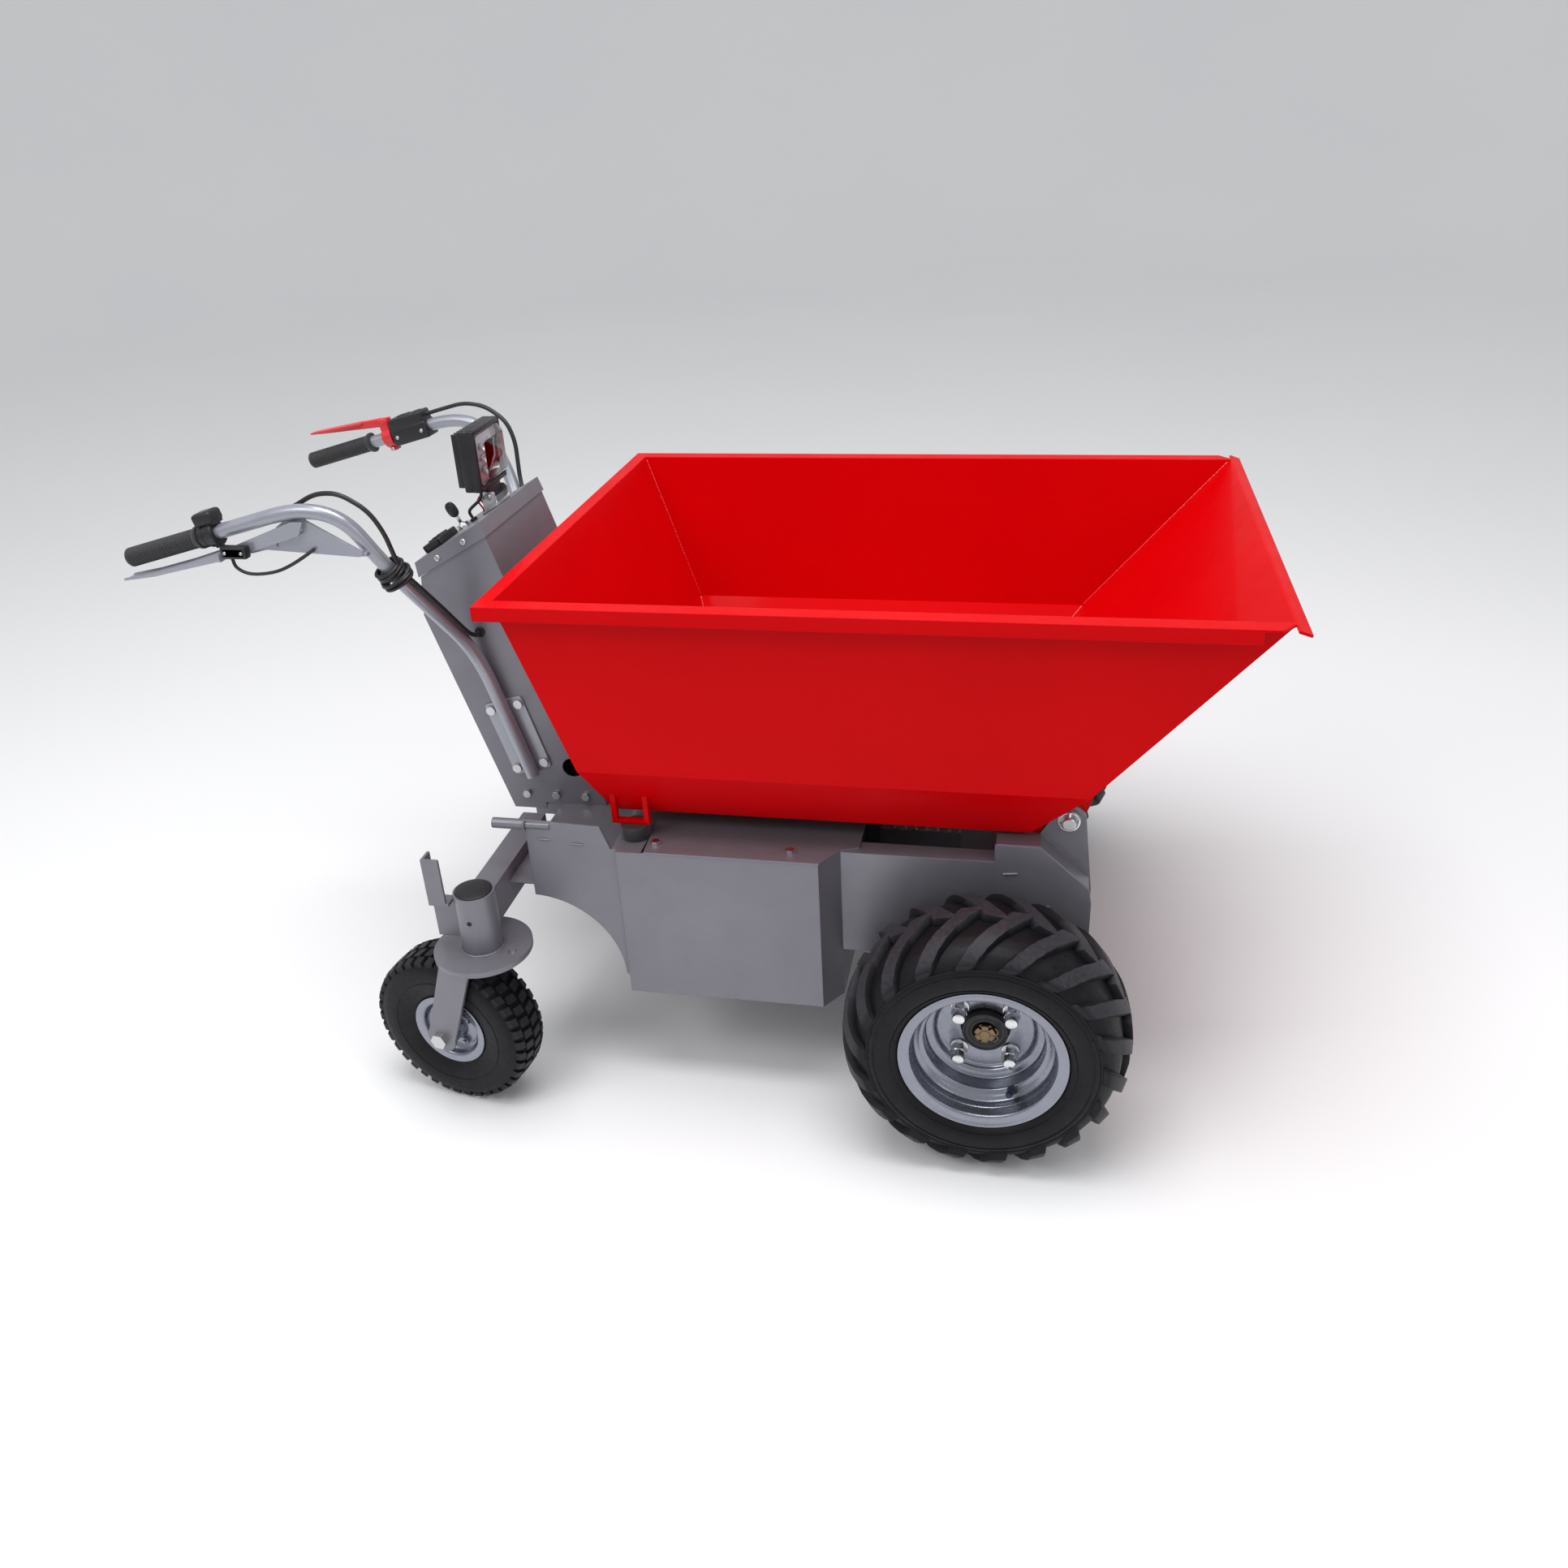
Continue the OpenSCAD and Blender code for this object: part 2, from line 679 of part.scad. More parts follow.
// A lug welded behind the kingpin tube, with an angle piece bolted to it
module lock_brackets() {
    r = king_tube_d / 2;
    color(steel_grey) from_axle() both_sides() at_kingpin() difference() {
        union() {
            box(-r - 36, -r - gap, -3, 3, 300, 366);
            box(-64.5, -60.5, -18, 6, 366, 440);
            box(-64.5, -38, -18, -14, 366, 440);
            box(-64.5, -r - 4, -18, 6, 362, 366.5);
        }
        translate([0, -3, 385]) rod_x(-66, -59, hex_bolt_d + 1);
    }
}

// ---- Hopper ----

function skin(slope) = sheet * sqrt(1 + slope * slope);

// Side view of the hopper body, moved in from its outer faces by the sheet's thickness when inner
function hopper_side(inner) =
    let (z0 = inner ? floor_z + sheet : floor_z, z1 = inner ? rim_z + 1 : rim_z,
        f = inner ? skin(front_slope) : 0, r = inner ? skin(rear_slope) : 0)
    [[-floor_rear - (z0 - floor_z) * rear_slope + r, z0], [floor_front + (z0 - floor_z) * front_slope - f, z0],
        [floor_front + (z1 - floor_z) * front_slope - f, z1],
        [-floor_rear - (z1 - floor_z) * rear_slope + r, z1]];

// End view of the hopper body, with the sides turned in below the creases
function hopper_end(inner) =
    let (turn = (crease_w - floor_w) / 2 / (crease_z - floor_z), lean = (wall_top_w - crease_w) / 2 / (rim_z - crease_z),
        z0 = inner ? floor_z + sheet : floor_z, z1 = inner ? rim_z + 1 : rim_z,
        low = inner ? skin(turn) : 0, high = inner ? skin(lean) : 0,
        a = floor_w / 2 + (z0 - floor_z) * turn - low, b = crease_w / 2 - high,
        c = crease_w / 2 + (z1 - crease_z) * lean - high)
    [[-a, z0], [a, z0], [b, crease_z], [c, z1], [-c, z1], [-b, crease_z]];

module hopper_body(inner) {
    intersection() {
        across(hopper_side(inner), 1000);
        translate([-1000, 0, 0]) rotate([90, 0, 90]) linear_extrude(2000) polygon(hopper_end(inner));
    }
}

module hopper_rim() {
    hw = hopper_w / 2;
    inner = wall_top_w / 2 - sheet;
    rear = -rim_rear - rear_flange;
    both_sides() {
        translate([0, 0, rim_z - sheet]) linear_extrude(sheet) polygon([[rear, -hw], [flange_front, -hw],
            [rim_front, -wall_top_w / 2], [rim_front, -inner], [rear, -inner]]);
        box(rear, flange_front - lip_h, -hw, sheet - hw, rim_z - lip_h, rim_z);
    }
    box(rear, -rim_rear + sheet, -hw, hw, rim_z - sheet, rim_z);
    box(rear, rear + sheet, -hw, hw, rim_z - lip_h, rim_z);
    across([[rim_front - sheet, rim_z - sheet], [rim_front - sheet, rim_z], [rim_front, rim_z],
        [rim_front + lip_out, rim_z - 5], [rim_front + lip_out - 1, rim_z - 5 - sheet]], hopper_w);
}

module hopper() {
    color(hopper_red) from_axle() {
        difference() {
            hopper_body(false);
            hopper_body(true);
        }
        hopper_rim();
    }
}

// Hinge lug, from the pivot up to the sloping front wall
module hinge_lug() {
    face = cheek_y - cheek_t - 1;
    wall_z = floor_z + (pivot_x + 60 - floor_front) / front_slope;
    difference() {
        union() {
            side_sheet([[floor_front - 40, floor_z - gap], [floor_front + 0.3, floor_z - gap],
                [pivot_x + 60, wall_z - 1], [pivot_x + 19, pivot_z], [pivot_x, pivot_z - 19],
                [floor_front, floor_z - 14]], face, lug_t);
            at_pivot() rod_y(-face, lug_t - face, 38);
        }
        at_pivot() rod_y(-face - 1, lug_t - face + 1, pivot_pin_d + 2 * fit);
    }
}

// A bar loop that hangs from the side wall and sits on the rubber rest
module rest_loop() {
    bar_z = rest_top + gap;
    side_turn = (crease_w - floor_w) / 2 / (crease_z - floor_z);
    near = -rest_y + 5;
    far = -rest_y - 5;
    function under_wall(y) = floor_z - 0.2 + (-y - floor_w / 2) / side_turn;
    for (x = [-556, -507])
        translate([x, 0, 0]) rotate([90, 0, 90]) linear_extrude(8)
            polygon([[far, bar_z], [near, bar_z], [near, under_wall(near)], [far, under_wall(far)]]);
    box(-556, -499, far, near, bar_z, bar_z + 6);
}

module hopper_fittings() {
    color(hopper_red) from_axle() both_sides() {
        hinge_lug();
        rest_loop();
    }
}

module pivot_pins() {
    color(zinc) from_axle() both_sides() at_pivot() {
        rod_y(-cheek_y - 14, -cheek_y + cheek_t + 14, pivot_pin_d);
        rod_y(-cheek_y - 3.2, -cheek_y - 0.1, 32);
    }
}

module linch_pins() {
    color(zinc) from_axle() both_sides() at_pivot() translate([0, -cheek_y - 8, 0]) {
        translate([0, 0, pivot_pin_d / 2 + 0.1]) cylinder(d = 6, h = 7);
        rotate([90, 0, 0]) rotate_extrude($fn = 48) translate([pivot_pin_d / 2 + 4, 0]) circle(d = 2.6, $fn = 16);
    }
}

module rest_buffers() {
    color(tyre_black) from_axle() both_sides() translate([rest_x, -rest_y, deck_z])
        cylinder(d = rest_d, h = rest_top - deck_z);
}

// ---- Console column ----

function column_front_x(z) = -column_foot_front - (z - low_deck_z) * column_lean;

module column_shell() {
    color(steel_grey) from_axle() difference() {
        across([[-898, 744], [-905, column_back_z], [-803, 338], [-747, 338], [-747, low_deck_z],
            [column_front_x(low_deck_z), low_deck_z], [column_front_x(column_top_z), column_top_z]], column_w);
        across([[-1000, 200], [column_front_x(200) - 2.7, 200], [column_front_x(980) - 2.7, 980],
            [-1000, 980]], column_w - 2 * column_sheet);
        both_sides() {
            for (x = foot_bolt_x)
                translate([x, 0, foot_bolt_z]) rod_y(-column_w, 10 - column_w / 2, hex_bolt_d + 1);
            translate([bracket_x, 0, bracket_z]) rotate([0, bracket_turn, 0]) for (b = bracket_bolts)
                translate([b[0], 0, b[1]]) rod_y(-column_w, 10 - column_w / 2, hex_bolt_d + 1);
            translate([-692, 0, 418]) rod_y(-column_w, 10 - column_w / 2, 34);
        }
    }
}

module column_back() {
    color(steel_grey) from_axle() across([[-895, 738], [-902, column_back_z], [-801, 353],
        [-799, 353.6], [-900, column_back_z], [-893, 738]], column_w - 2 * column_sheet - 0.2);
}

module console_cap() {
    hw = column_w / 2 + cap_clear;
    color(steel_grey) from_axle() difference() {
        across([[cap_x + 2, cap_z - cap_h], [cap_x, cap_z], [cap_front_x, cap_front_z],
            [cap_front_x + 8, cap_front_z - 22]], 2 * hw + 2 * cap_t);
        across([[cap_x + 3.8, 700], [cap_x + 2, cap_z - 1.3], [cap_front_x - 1.2, cap_front_z - 3.3],
            [cap_front_x + 6, cap_front_z - 26], [cap_front_x + 6, 700]], 2 * hw);
        on_console(0, 0) both_sides() for (u = [38, 92])
            translate([u, 0, -12]) rod_y(-130, -100, 5.4);
    }
}

module console_screws() {
    color(zinc) from_axle() both_sides() on_console(0, 0) for (u = [38, 92])
        translate([u, -column_w / 2 - cap_clear - cap_t, -12]) {
            rotate([90, 0, 0]) cylinder(d = 10, h = 2.6);
            rod_y(-0.5, 2, 5);
        }
}

module key_switch() {
    color(plastic_black) from_axle() on_console(42, -10) difference() {
        cylinder(d = 26, h = 7);
        translate([0, 0, 2]) cylinder(d = 12 + 2 * fit, h = 10);
    }
}

module ignition_key() {
    color([0.1, 0.1, 0.1]) from_axle() on_console(42, -10) {
        translate([0, 0, 2 + gap]) cylinder(d = 12, h = 6);
        translate([-3.5, -1, 8]) cube([7, 2, 13]);
        translate([-9, -3, 20]) cube([18, 6, 26]);
    }
}

module rocker_housing() {
    color(plastic_black) from_axle() on_console(28, -68) difference() {
        translate([-18, -30, 0]) cube([36, 60, 12]);
        translate([-11, -20, 5]) cube([22, 40, 10]);
    }
}

module rocker() {
    color([0.12, 0.12, 0.13]) from_axle() on_console(28, -68) {
        translate([0, 0, 11]) rod_x(-10.7, 10.7, 9);
        translate([-10, -18, 11]) cube([20, 36, 3.5]);
    }
}

// ---- Handles ----

module handle_tube() {
    swept_tube(smooth(handle_route, handle_cuts, 8), tube_r, 16);
    difference() {
        translate([bracket_x, 0, bracket_z]) rotate([0, bracket_turn, 0])
            box(-34, 34, -column_w / 2 - plate, -column_w / 2, -66, 66);
        translate([bracket_x, 0, bracket_z]) rotate([0, bracket_turn, 0]) for (b = bracket_bolts)
            translate([b[0], 0, b[1]]) rod_y(-column_w, 0, hex_bolt_d + 1);
    }
}

// The right handle also carries a gusset, which the stop lever swings on
module handle_right() {
    color(steel_grey) from_axle() {
        handle_tube();
        difference() {
            side_sheet([[-1060, 836], [-904, 827], [-900, 834], [-992, 887], [-1004, 887],
                [-1056, 850]], grip_y + 2, 4);
            translate([stop_lever_at[0], 0, stop_lever_at[2]]) rod_y(-grip_y - 5, -grip_y + 5, 8 + 2 * fit);
        }
        side_sheet([[-1112, 822], [-1112, 838], [-1000, 880], [-980, 880], [-990, 860]], grip_y + 11, 3);
        box(-1000, -984, -grip_y - 9, -grip_y, 866, 880);
        box(-906, -897, -grip_y + 1, -grip_y + 18, 827, 833);
    }
}

module handle_left() {
    color(steel_grey) from_axle() mirror([0, 1, 0]) handle_tube();
}

module handle_bolts() {
    color(zinc) from_axle() both_sides() translate([bracket_x, -column_w / 2 - plate, bracket_z])
        rotate([0, bracket_turn, 0]) for (b = bracket_bolts)
            translate([b[0], 0, b[1]]) {
                rotate([90, 0, 0]) cylinder(d = 15, h = 5);
                rod_y(-1, 14, hex_bolt_d);
            }
}

module hand_grip() {
    color(plastic_black) on_handle(0) difference() {
        union() {
            rod_x(-4, grip_l, grip_d);
            rod_x(grip_l - 6, grip_l, grip_d + 6);
        }
        rod_x(-0.2, grip_l + 1, tube_d + 0.2);
    }
}

module grip_right() { from_axle() hand_grip(); }
module grip_left() { mirror([0, 1, 0]) grip_right(); }

module throttle_housing() {
    color(plastic_black) from_axle() on_handle(grip_l + 12) difference() {
        union() {
            rod_x(0, 16, 38);
            box(-8, 26, -16, 16, 15, 34);
        }
        rod_x(-1, 17, tube_d + 0.2);
        box(-9, -0.4, -20, 20, -20, 20);
    }
}

module throttle_thumb() {
    color(plastic_black) from_axle() on_handle(grip_l + 1) difference() {
        union() {
            rod_x(0, 10.4, 34);
            rotate([20, 0, 0]) {
                box(0.5, 10, 12, 24, -4, 4);
                box(-22, 10, 20, 40, -4, 4);
            }
        }
        rod_x(-1, 12, tube_d + 0.4);
    }
}

module stop_lever() {
    pivot = [stop_lever_at[0], stop_lever_at[2]];
    color(steel_grey) from_axle() {
        for (side = [0, 1])
            translate([0, side * 7.1, 0]) side_sheet([[-1128, 818], [-1128, 832], pivot + [-4, 8], pivot + [8, 6],
                pivot + [8, -8], pivot + [-2, -10]], grip_y + 4.8, 2.5);
        translate([stop_lever_at[0], 0, stop_lever_at[2]]) rod_y(-grip_y - 4.8, -grip_y + 4.8, 8);
        translate([0, -grip_y, 0]) across([[-1293, 786], [-1124, 818], [-1124, 832], [-1130, 832],
            [-1293, 790]], 26);
    }
}

module stop_switch() {
    color(plastic_black) from_axle() box(-1112, -1072, -grip_y - 25, -grip_y - 11.1, 828, 846);
}

module switch_block() {
    color(plastic_black) from_axle() mirror([0, 1, 0]) on_handle(brake_lever_s + 12) difference() {
        box(0, 72, -20, 20, -18, 30);
        rod_x(-1, 73, tube_d + 0.2);
    }
}

module brake_lever_mount() {
    color(hopper_red) from_axle() mirror([0, 1, 0]) on_handle(brake_lever_s - 9) difference() {
        union() {
            rod_x(0, 18, 36);
            both_sides() box(0, 18, -11, -6.3, 10, brake_lever_h + 7);
        }
        rod_x(-1, 19, tube_d + 0.2);
        translate([9, 0, brake_lever_h]) rod_y(-20, 20, 6 + 2 * fit);
    }
}

module brake_lever() {
    color(hopper_red) from_axle() mirror([0, 1, 0]) on_handle(brake_lever_s) {
        translate([0, 0, brake_lever_h]) {
            rod_y(-6, 6, 13);
            rod_y(-11.5, 11.5, 6);
        }
        translate([0, 0, brake_lever_h]) {
            across([[-150, 16], [-149, 21], [-40, 13], [3, 8], [5, -6], [-12, -6]], 12);
            across([[-150, 16], [-149, 21], [-40, 13], [-40, 5]], 22);
        }
    }
}

// ---- Lamp ----

module at_lamp() {
    translate(lamp_at) children();
}

module lamp_bracket() {
    color(zinc) from_axle() {
        difference() {
            at_lamp() both_sides() box(-12, 12, -27, -24, -26, 10);
            on_console(-20, 0) box(-60, 250, -200, 200, -80, 0.1);
            at_lamp() rod_y(-30, 30, 6 + 2 * fit);
        }
        on_console(86, lamp_at[1]) box(-1, 30, -27, 27, 0.1, 3.1);
    }
}

module lamp_housing() {
    color(plastic_black) from_axle() at_lamp() {
        difference() {
            union() {
                box(-26, 2, -52, 52, 14, 110);
                for (i = [0:8])
                    box(-38, -25, -46 + i * 11, -42 + i * 11, 20, 104);
                box(-9, 2, -23.4, 23.4, -6, 15);
            }
            box(-6, 3, -45, 45, 21, 103);
        }
        rod_y(-29, 29, 6);
    }
}

module lamp_lens() {
    color([0.85, 0.9, 0.95]) from_axle() at_lamp() {
        box(-6, 2.2, -44.7, 44.7, 21.3, 102.7);
        across([[2, 22], [12, 32], [12, 92], [2, 102]], 76);
    }
}

// ---- Cables ----

module cable_glands() {
    color(plastic_black) from_axle() {
        both_sides() translate([-814, 0, 655]) rod_y(-column_w / 2 - 4, -column_w / 2 - 0.1, 16);
        translate([-804.5, -40, 364]) rotate([0, -107.2, 0]) cylinder(d = 22, h = 10);
        on_console(66, -12) translate([0, 0, 0.1]) cylinder(d = 12, h = 5);
    }
}

module throttle_cable() {
    color(plastic_black) from_axle() cable(throttle_route, 7);
}

module switch_cable() {
    color(plastic_black) from_axle() cable(switch_route, 7);
}

module stop_switch_cable() {
    color(plastic_black) from_axle() cable(stop_route, 5);
}

module lamp_cable() {
    color(plastic_black) from_axle() cable(lamp_route, 5);
}

// A hank of spare lead tied round the right handle tube
module cable_wrap() {
    up = unit(handle_route[3] - handle_route[1]);
    color(plastic_black) from_axle() translate([-880.3, -232.2, 790])
        rotate([0, acos(up[2]), atan2(up[1], up[0])]) rotate_extrude($fn = 48)
            for (turn = [-2:2]) translate([18, turn * 4.4]) circle(d = 5, $fn = 16);
}

chassis_frame();
chassis_tub();
battery_cover();
hex_bolts();
batteries();
motor_controller();
transaxle();
drive_motor();
pivot_pins();
linch_pins();
rest_buffers();
kingpin_caps();
lock_brackets();
column_shell();
column_back();
console_cap();
console_screws();
key_switch();
rocker_housing();
handle_right();
handle_left();
handle_bolts();
grip_right();
grip_left();
throttle_housing();
stop_switch();
switch_block();
brake_lever_mount();
lamp_bracket();
cable_glands();
throttle_cable();
switch_cable();
stop_switch_cable();
lamp_cable();
cable_wrap();
hopper();
hopper_fittings();
drive_tyre_right();
drive_rim_right();
drive_hub_right();
wheel_nuts_right();
drive_tyre_left();
drive_rim_left();
drive_hub_left();
wheel_nuts_left();
caster_fork_right();
caster_bolt_right();
caster_tyre_right();
caster_rim_right();
caster_fork_left();
caster_bolt_left();
caster_tyre_left();
caster_rim_left();
ignition_key();
rocker();
throttle_thumb();
stop_lever();
brake_lever();
lamp_housing();
lamp_lens();
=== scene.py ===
"""Looks of the power wheelbarrow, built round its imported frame. Metres, +X forward, +Y left, +Z up."""
import math
import random

import bmesh
import bpy
import numpy as np
from mathutils import Matrix, Vector


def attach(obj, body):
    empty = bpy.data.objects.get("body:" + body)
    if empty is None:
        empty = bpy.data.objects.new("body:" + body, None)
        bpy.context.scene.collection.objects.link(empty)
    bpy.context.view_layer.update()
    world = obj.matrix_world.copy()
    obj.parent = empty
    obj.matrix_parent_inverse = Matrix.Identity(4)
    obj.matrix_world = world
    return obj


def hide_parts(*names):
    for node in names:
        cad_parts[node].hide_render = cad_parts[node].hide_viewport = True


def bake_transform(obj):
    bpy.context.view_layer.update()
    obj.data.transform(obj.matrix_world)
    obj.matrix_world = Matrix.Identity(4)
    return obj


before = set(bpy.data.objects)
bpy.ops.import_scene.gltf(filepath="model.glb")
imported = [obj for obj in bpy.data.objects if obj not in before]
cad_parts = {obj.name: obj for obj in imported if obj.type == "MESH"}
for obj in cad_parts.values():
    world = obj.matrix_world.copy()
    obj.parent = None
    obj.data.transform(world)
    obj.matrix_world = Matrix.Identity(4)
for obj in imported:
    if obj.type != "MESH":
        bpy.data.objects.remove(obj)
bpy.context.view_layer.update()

AX = 0.465
WHEEL_Y = 0.4245
AXLE_Z = 0.202
SIDES = {"right": -1, "left": 1}
PI = math.pi


# ---- Materials ----

class Nodes:
    """A material's node tree, with short calls to add what is needed."""

    def __init__(self, name):
        self.mat = bpy.data.materials.new(name)
        self.mat.use_nodes = True
        self.tree = self.mat.node_tree
        self.tree.nodes.clear()
        self.out = self.add("ShaderNodeOutputMaterial")
        self.bsdf = self.add("ShaderNodeBsdfPrincipled")
        self.link(self.bsdf, "BSDF", self.out, "Surface")
        self.coord = self.add("ShaderNodeTexCoord")

    def add(self, kind, **props):
        n = self.tree.nodes.new(kind)
        for k, v in props.items():
            if hasattr(n, k) and k not in n.inputs:
                setattr(n, k, v)
            else:
                n.inputs[k].default_value = v
        return n

    def link(self, a, out, b, inp):
        self.tree.links.new(a.outputs[out], b.inputs[inp])

    def noise(self, scale, detail=4.0, rough=0.5, stretch=None):
        n = self.add("ShaderNodeTexNoise", Scale=scale, Detail=detail, Roughness=rough)
        if stretch:
            m = self.add("ShaderNodeMapping", Scale=stretch)
            self.link(self.coord, "Object", m, "Vector")
            self.link(m, "Vector", n, "Vector")
        else:
            self.link(self.coord, "Object", n, "Vector")
        return n

    def ramp(self, src, out, stops):
        r = self.add("ShaderNodeValToRGB")
        els = r.color_ramp.elements
        while len(els) < len(stops):
            els.new(0.5)
        for e, (pos, col) in zip(els, stops):
            e.position = pos
            e.color = (*col, 1) if len(col) == 3 else col
        self.link(src, out, r, "Fac")
        return r

    def spread(self, src, out, lo, hi, a=0.3, b=0.7):
        m = self.add("ShaderNodeMapRange")
        m.inputs["From Min"].default_value = a
        m.inputs["From Max"].default_value = b
        m.inputs["To Min"].default_value = lo
        m.inputs["To Max"].default_value = hi
        self.link(src, out, m, "Value")
        return m

    def mix(self, fac, fac_out, a, a_out, b, b_out):
        m = self.add("ShaderNodeMix", data_type="RGBA")
        self.link(fac, fac_out, m, "Factor")
        self.tree.links.new(a.outputs[a_out], m.inputs[6])
        self.tree.links.new(b.outputs[b_out], m.inputs[7])
        return m

    def set(self, name, value):
        self.bsdf.inputs[name].default_value = value

    def bump(self, source, strength, distance, edge=0):
        """Surface relief from a noise, with edges eased to a radius when edge is given."""
        bump = self.add("ShaderNodeBump", Strength=strength, Distance=distance)
        self.link(source, "Fac", bump, "Height")
        if edge:
            bev = self.add("ShaderNodeBevel", Radius=edge)
            bev.samples = 4
            self.link(bev, "Normal", bump, "Normal")
        self.link(bump, "Normal", self.bsdf, "Normal")


def shade(rgb, k):
    return tuple(min(1.0, c * k) for c in rgb)


def coat(name, rgb, rough=0.4, metal=0.0, clear=0.0, clear_rough=0.06, grain=900.0, grain_h=0.00004,
         blotch=7.0, vary=0.08, edge=0.0012, dust=0.0, dust_rgb=(0.42, 0.39, 0.35), spec=0.5, soft=0.0):
    """Paint, plastic, rubber or metal: colour variation, roughness from grime, fine surface bump, eased edges."""
    n = Nodes(name)
    cloud = n.noise(blotch, 6.0, 0.6)
    fine = n.noise(grain, 3.0, 0.55)
    tone = n.ramp(cloud, "Fac", [(0.3, shade(rgb, 1 - vary)), (0.55, rgb), (0.75, shade(rgb, 1 + vary))])
    colour, colour_out = tone, "Color"
    if dust > 0:
        geo = n.add("ShaderNodeNewGeometry")
        split = n.add("ShaderNodeSeparateXYZ")
        n.link(geo, "Normal", split, "Vector")
        up = n.spread(split, "Z", 0.0, dust, 0.25, 1.0)
        speck = n.noise(60.0, 8.0, 0.72)
        share = n.spread(speck, "Fac", 0.2, 1.0, 0.42, 0.68)
        both = n.add("ShaderNodeMath", operation="MULTIPLY")
        n.link(up, "Result", both, 0)
        n.link(share, "Result", both, 1)
        base = n.ramp(speck, "Fac", [(0.0, shade(dust_rgb, 0.8)), (1.0, dust_rgb)])
        m = n.mix(both, "Value", tone, "Color", base, "Color")
        colour, colour_out = m, 2
    n.tree.links.new(colour.outputs[colour_out], n.bsdf.inputs["Base Color"])
    grime = n.noise(blotch * 5, 7.0, 0.65)
    r = n.spread(grime, "Fac", max(0.03, rough - 0.07), rough + 0.09)
    n.link(r, "Result", n.bsdf, "Roughness")
    n.set("Metallic", metal)
    n.set("Specular IOR Level", spec)
    if clear:
        n.set("Coat Weight", clear)
        n.set("Coat Roughness", clear_rough)
    if soft:
        n.set("Sheen Weight", soft)
        n.set("Sheen Roughness", 0.5)
    n.bump(fine, 1.0, grain_h, edge)
    return n.mat


def brushed(name, rgb, rough, lines=(4.0, 4.0, 420.0), vary=0.1, edge=0.0006):
    n = Nodes(name)
    streak = n.noise(30.0, 5.0, 0.6, stretch=lines)
    cloud = n.noise(24.0, 5.0, 0.6)
    tone = n.ramp(cloud, "Fac", [(0.3, shade(rgb, 1 - vary)), (0.6, rgb), (0.8, shade(rgb, 1 + vary))])
    n.link(tone, "Color", n.bsdf, "Base Color")
    r = n.spread(streak, "Fac", rough - 0.06, rough + 0.1)
    n.link(r, "Result", n.bsdf, "Roughness")
    n.set("Metallic", 1.0)
    n.bump(streak, 0.6, 0.00003, edge)
    return n.mat


def tyre_material(name):
    """Dull moulded rubber: lighter grey tread faces, deeper black walls, faint turned rings from the mould."""
    n = Nodes(name)
    tread_face = n.add("ShaderNodeAttribute", attribute_name="tread_face")
    cloud = n.noise(28.0, 6.0, 0.65)
    wall = n.ramp(cloud, "Fac", [(0.3, (0.002, 0.002, 0.003)), (0.55, (0.004, 0.004, 0.006)),
                                 (0.75, (0.009, 0.009, 0.012))])
    face_speckle = n.noise(190.0, 7.0, 0.7)
    face = n.ramp(face_speckle, "Fac", [(0.3, (0.014, 0.014, 0.018)), (0.6, (0.034, 0.033, 0.040))])
    m = n.mix(tread_face, "Fac", wall, "Color", face, "Color")
    n.tree.links.new(m.outputs[2], n.bsdf.inputs["Base Color"])
    r = n.spread(face_speckle, "Fac", 0.42, 0.62)
    n.link(r, "Result", n.bsdf, "Roughness")
    n.set("Specular IOR Level", 0.22)
    n.set("Sheen Weight", 0.02)
    n.set("Sheen Roughness", 0.5)
    fine = n.noise(1400.0, 4.0, 0.6)
    n.bump(fine, 0.8, 0.00007)
    return n.mat


def clear_material(name):
    """Moulded clear plastic for the lamp's lens."""
    n = Nodes(name)
    cloud = n.noise(60.0, 3.0, 0.5)
    tone = n.ramp(cloud, "Fac", [(0.3, (0.93, 0.95, 0.97)), (0.7, (0.99, 0.99, 1.0))])
    n.link(tone, "Color", n.bsdf, "Base Color")
    n.set("Roughness", 0.04)
    n.set("IOR", 1.49)
    n.set("Transmission Weight", 1.0)
    n.bump(cloud, 0.25, 0.0002)
    return n.mat


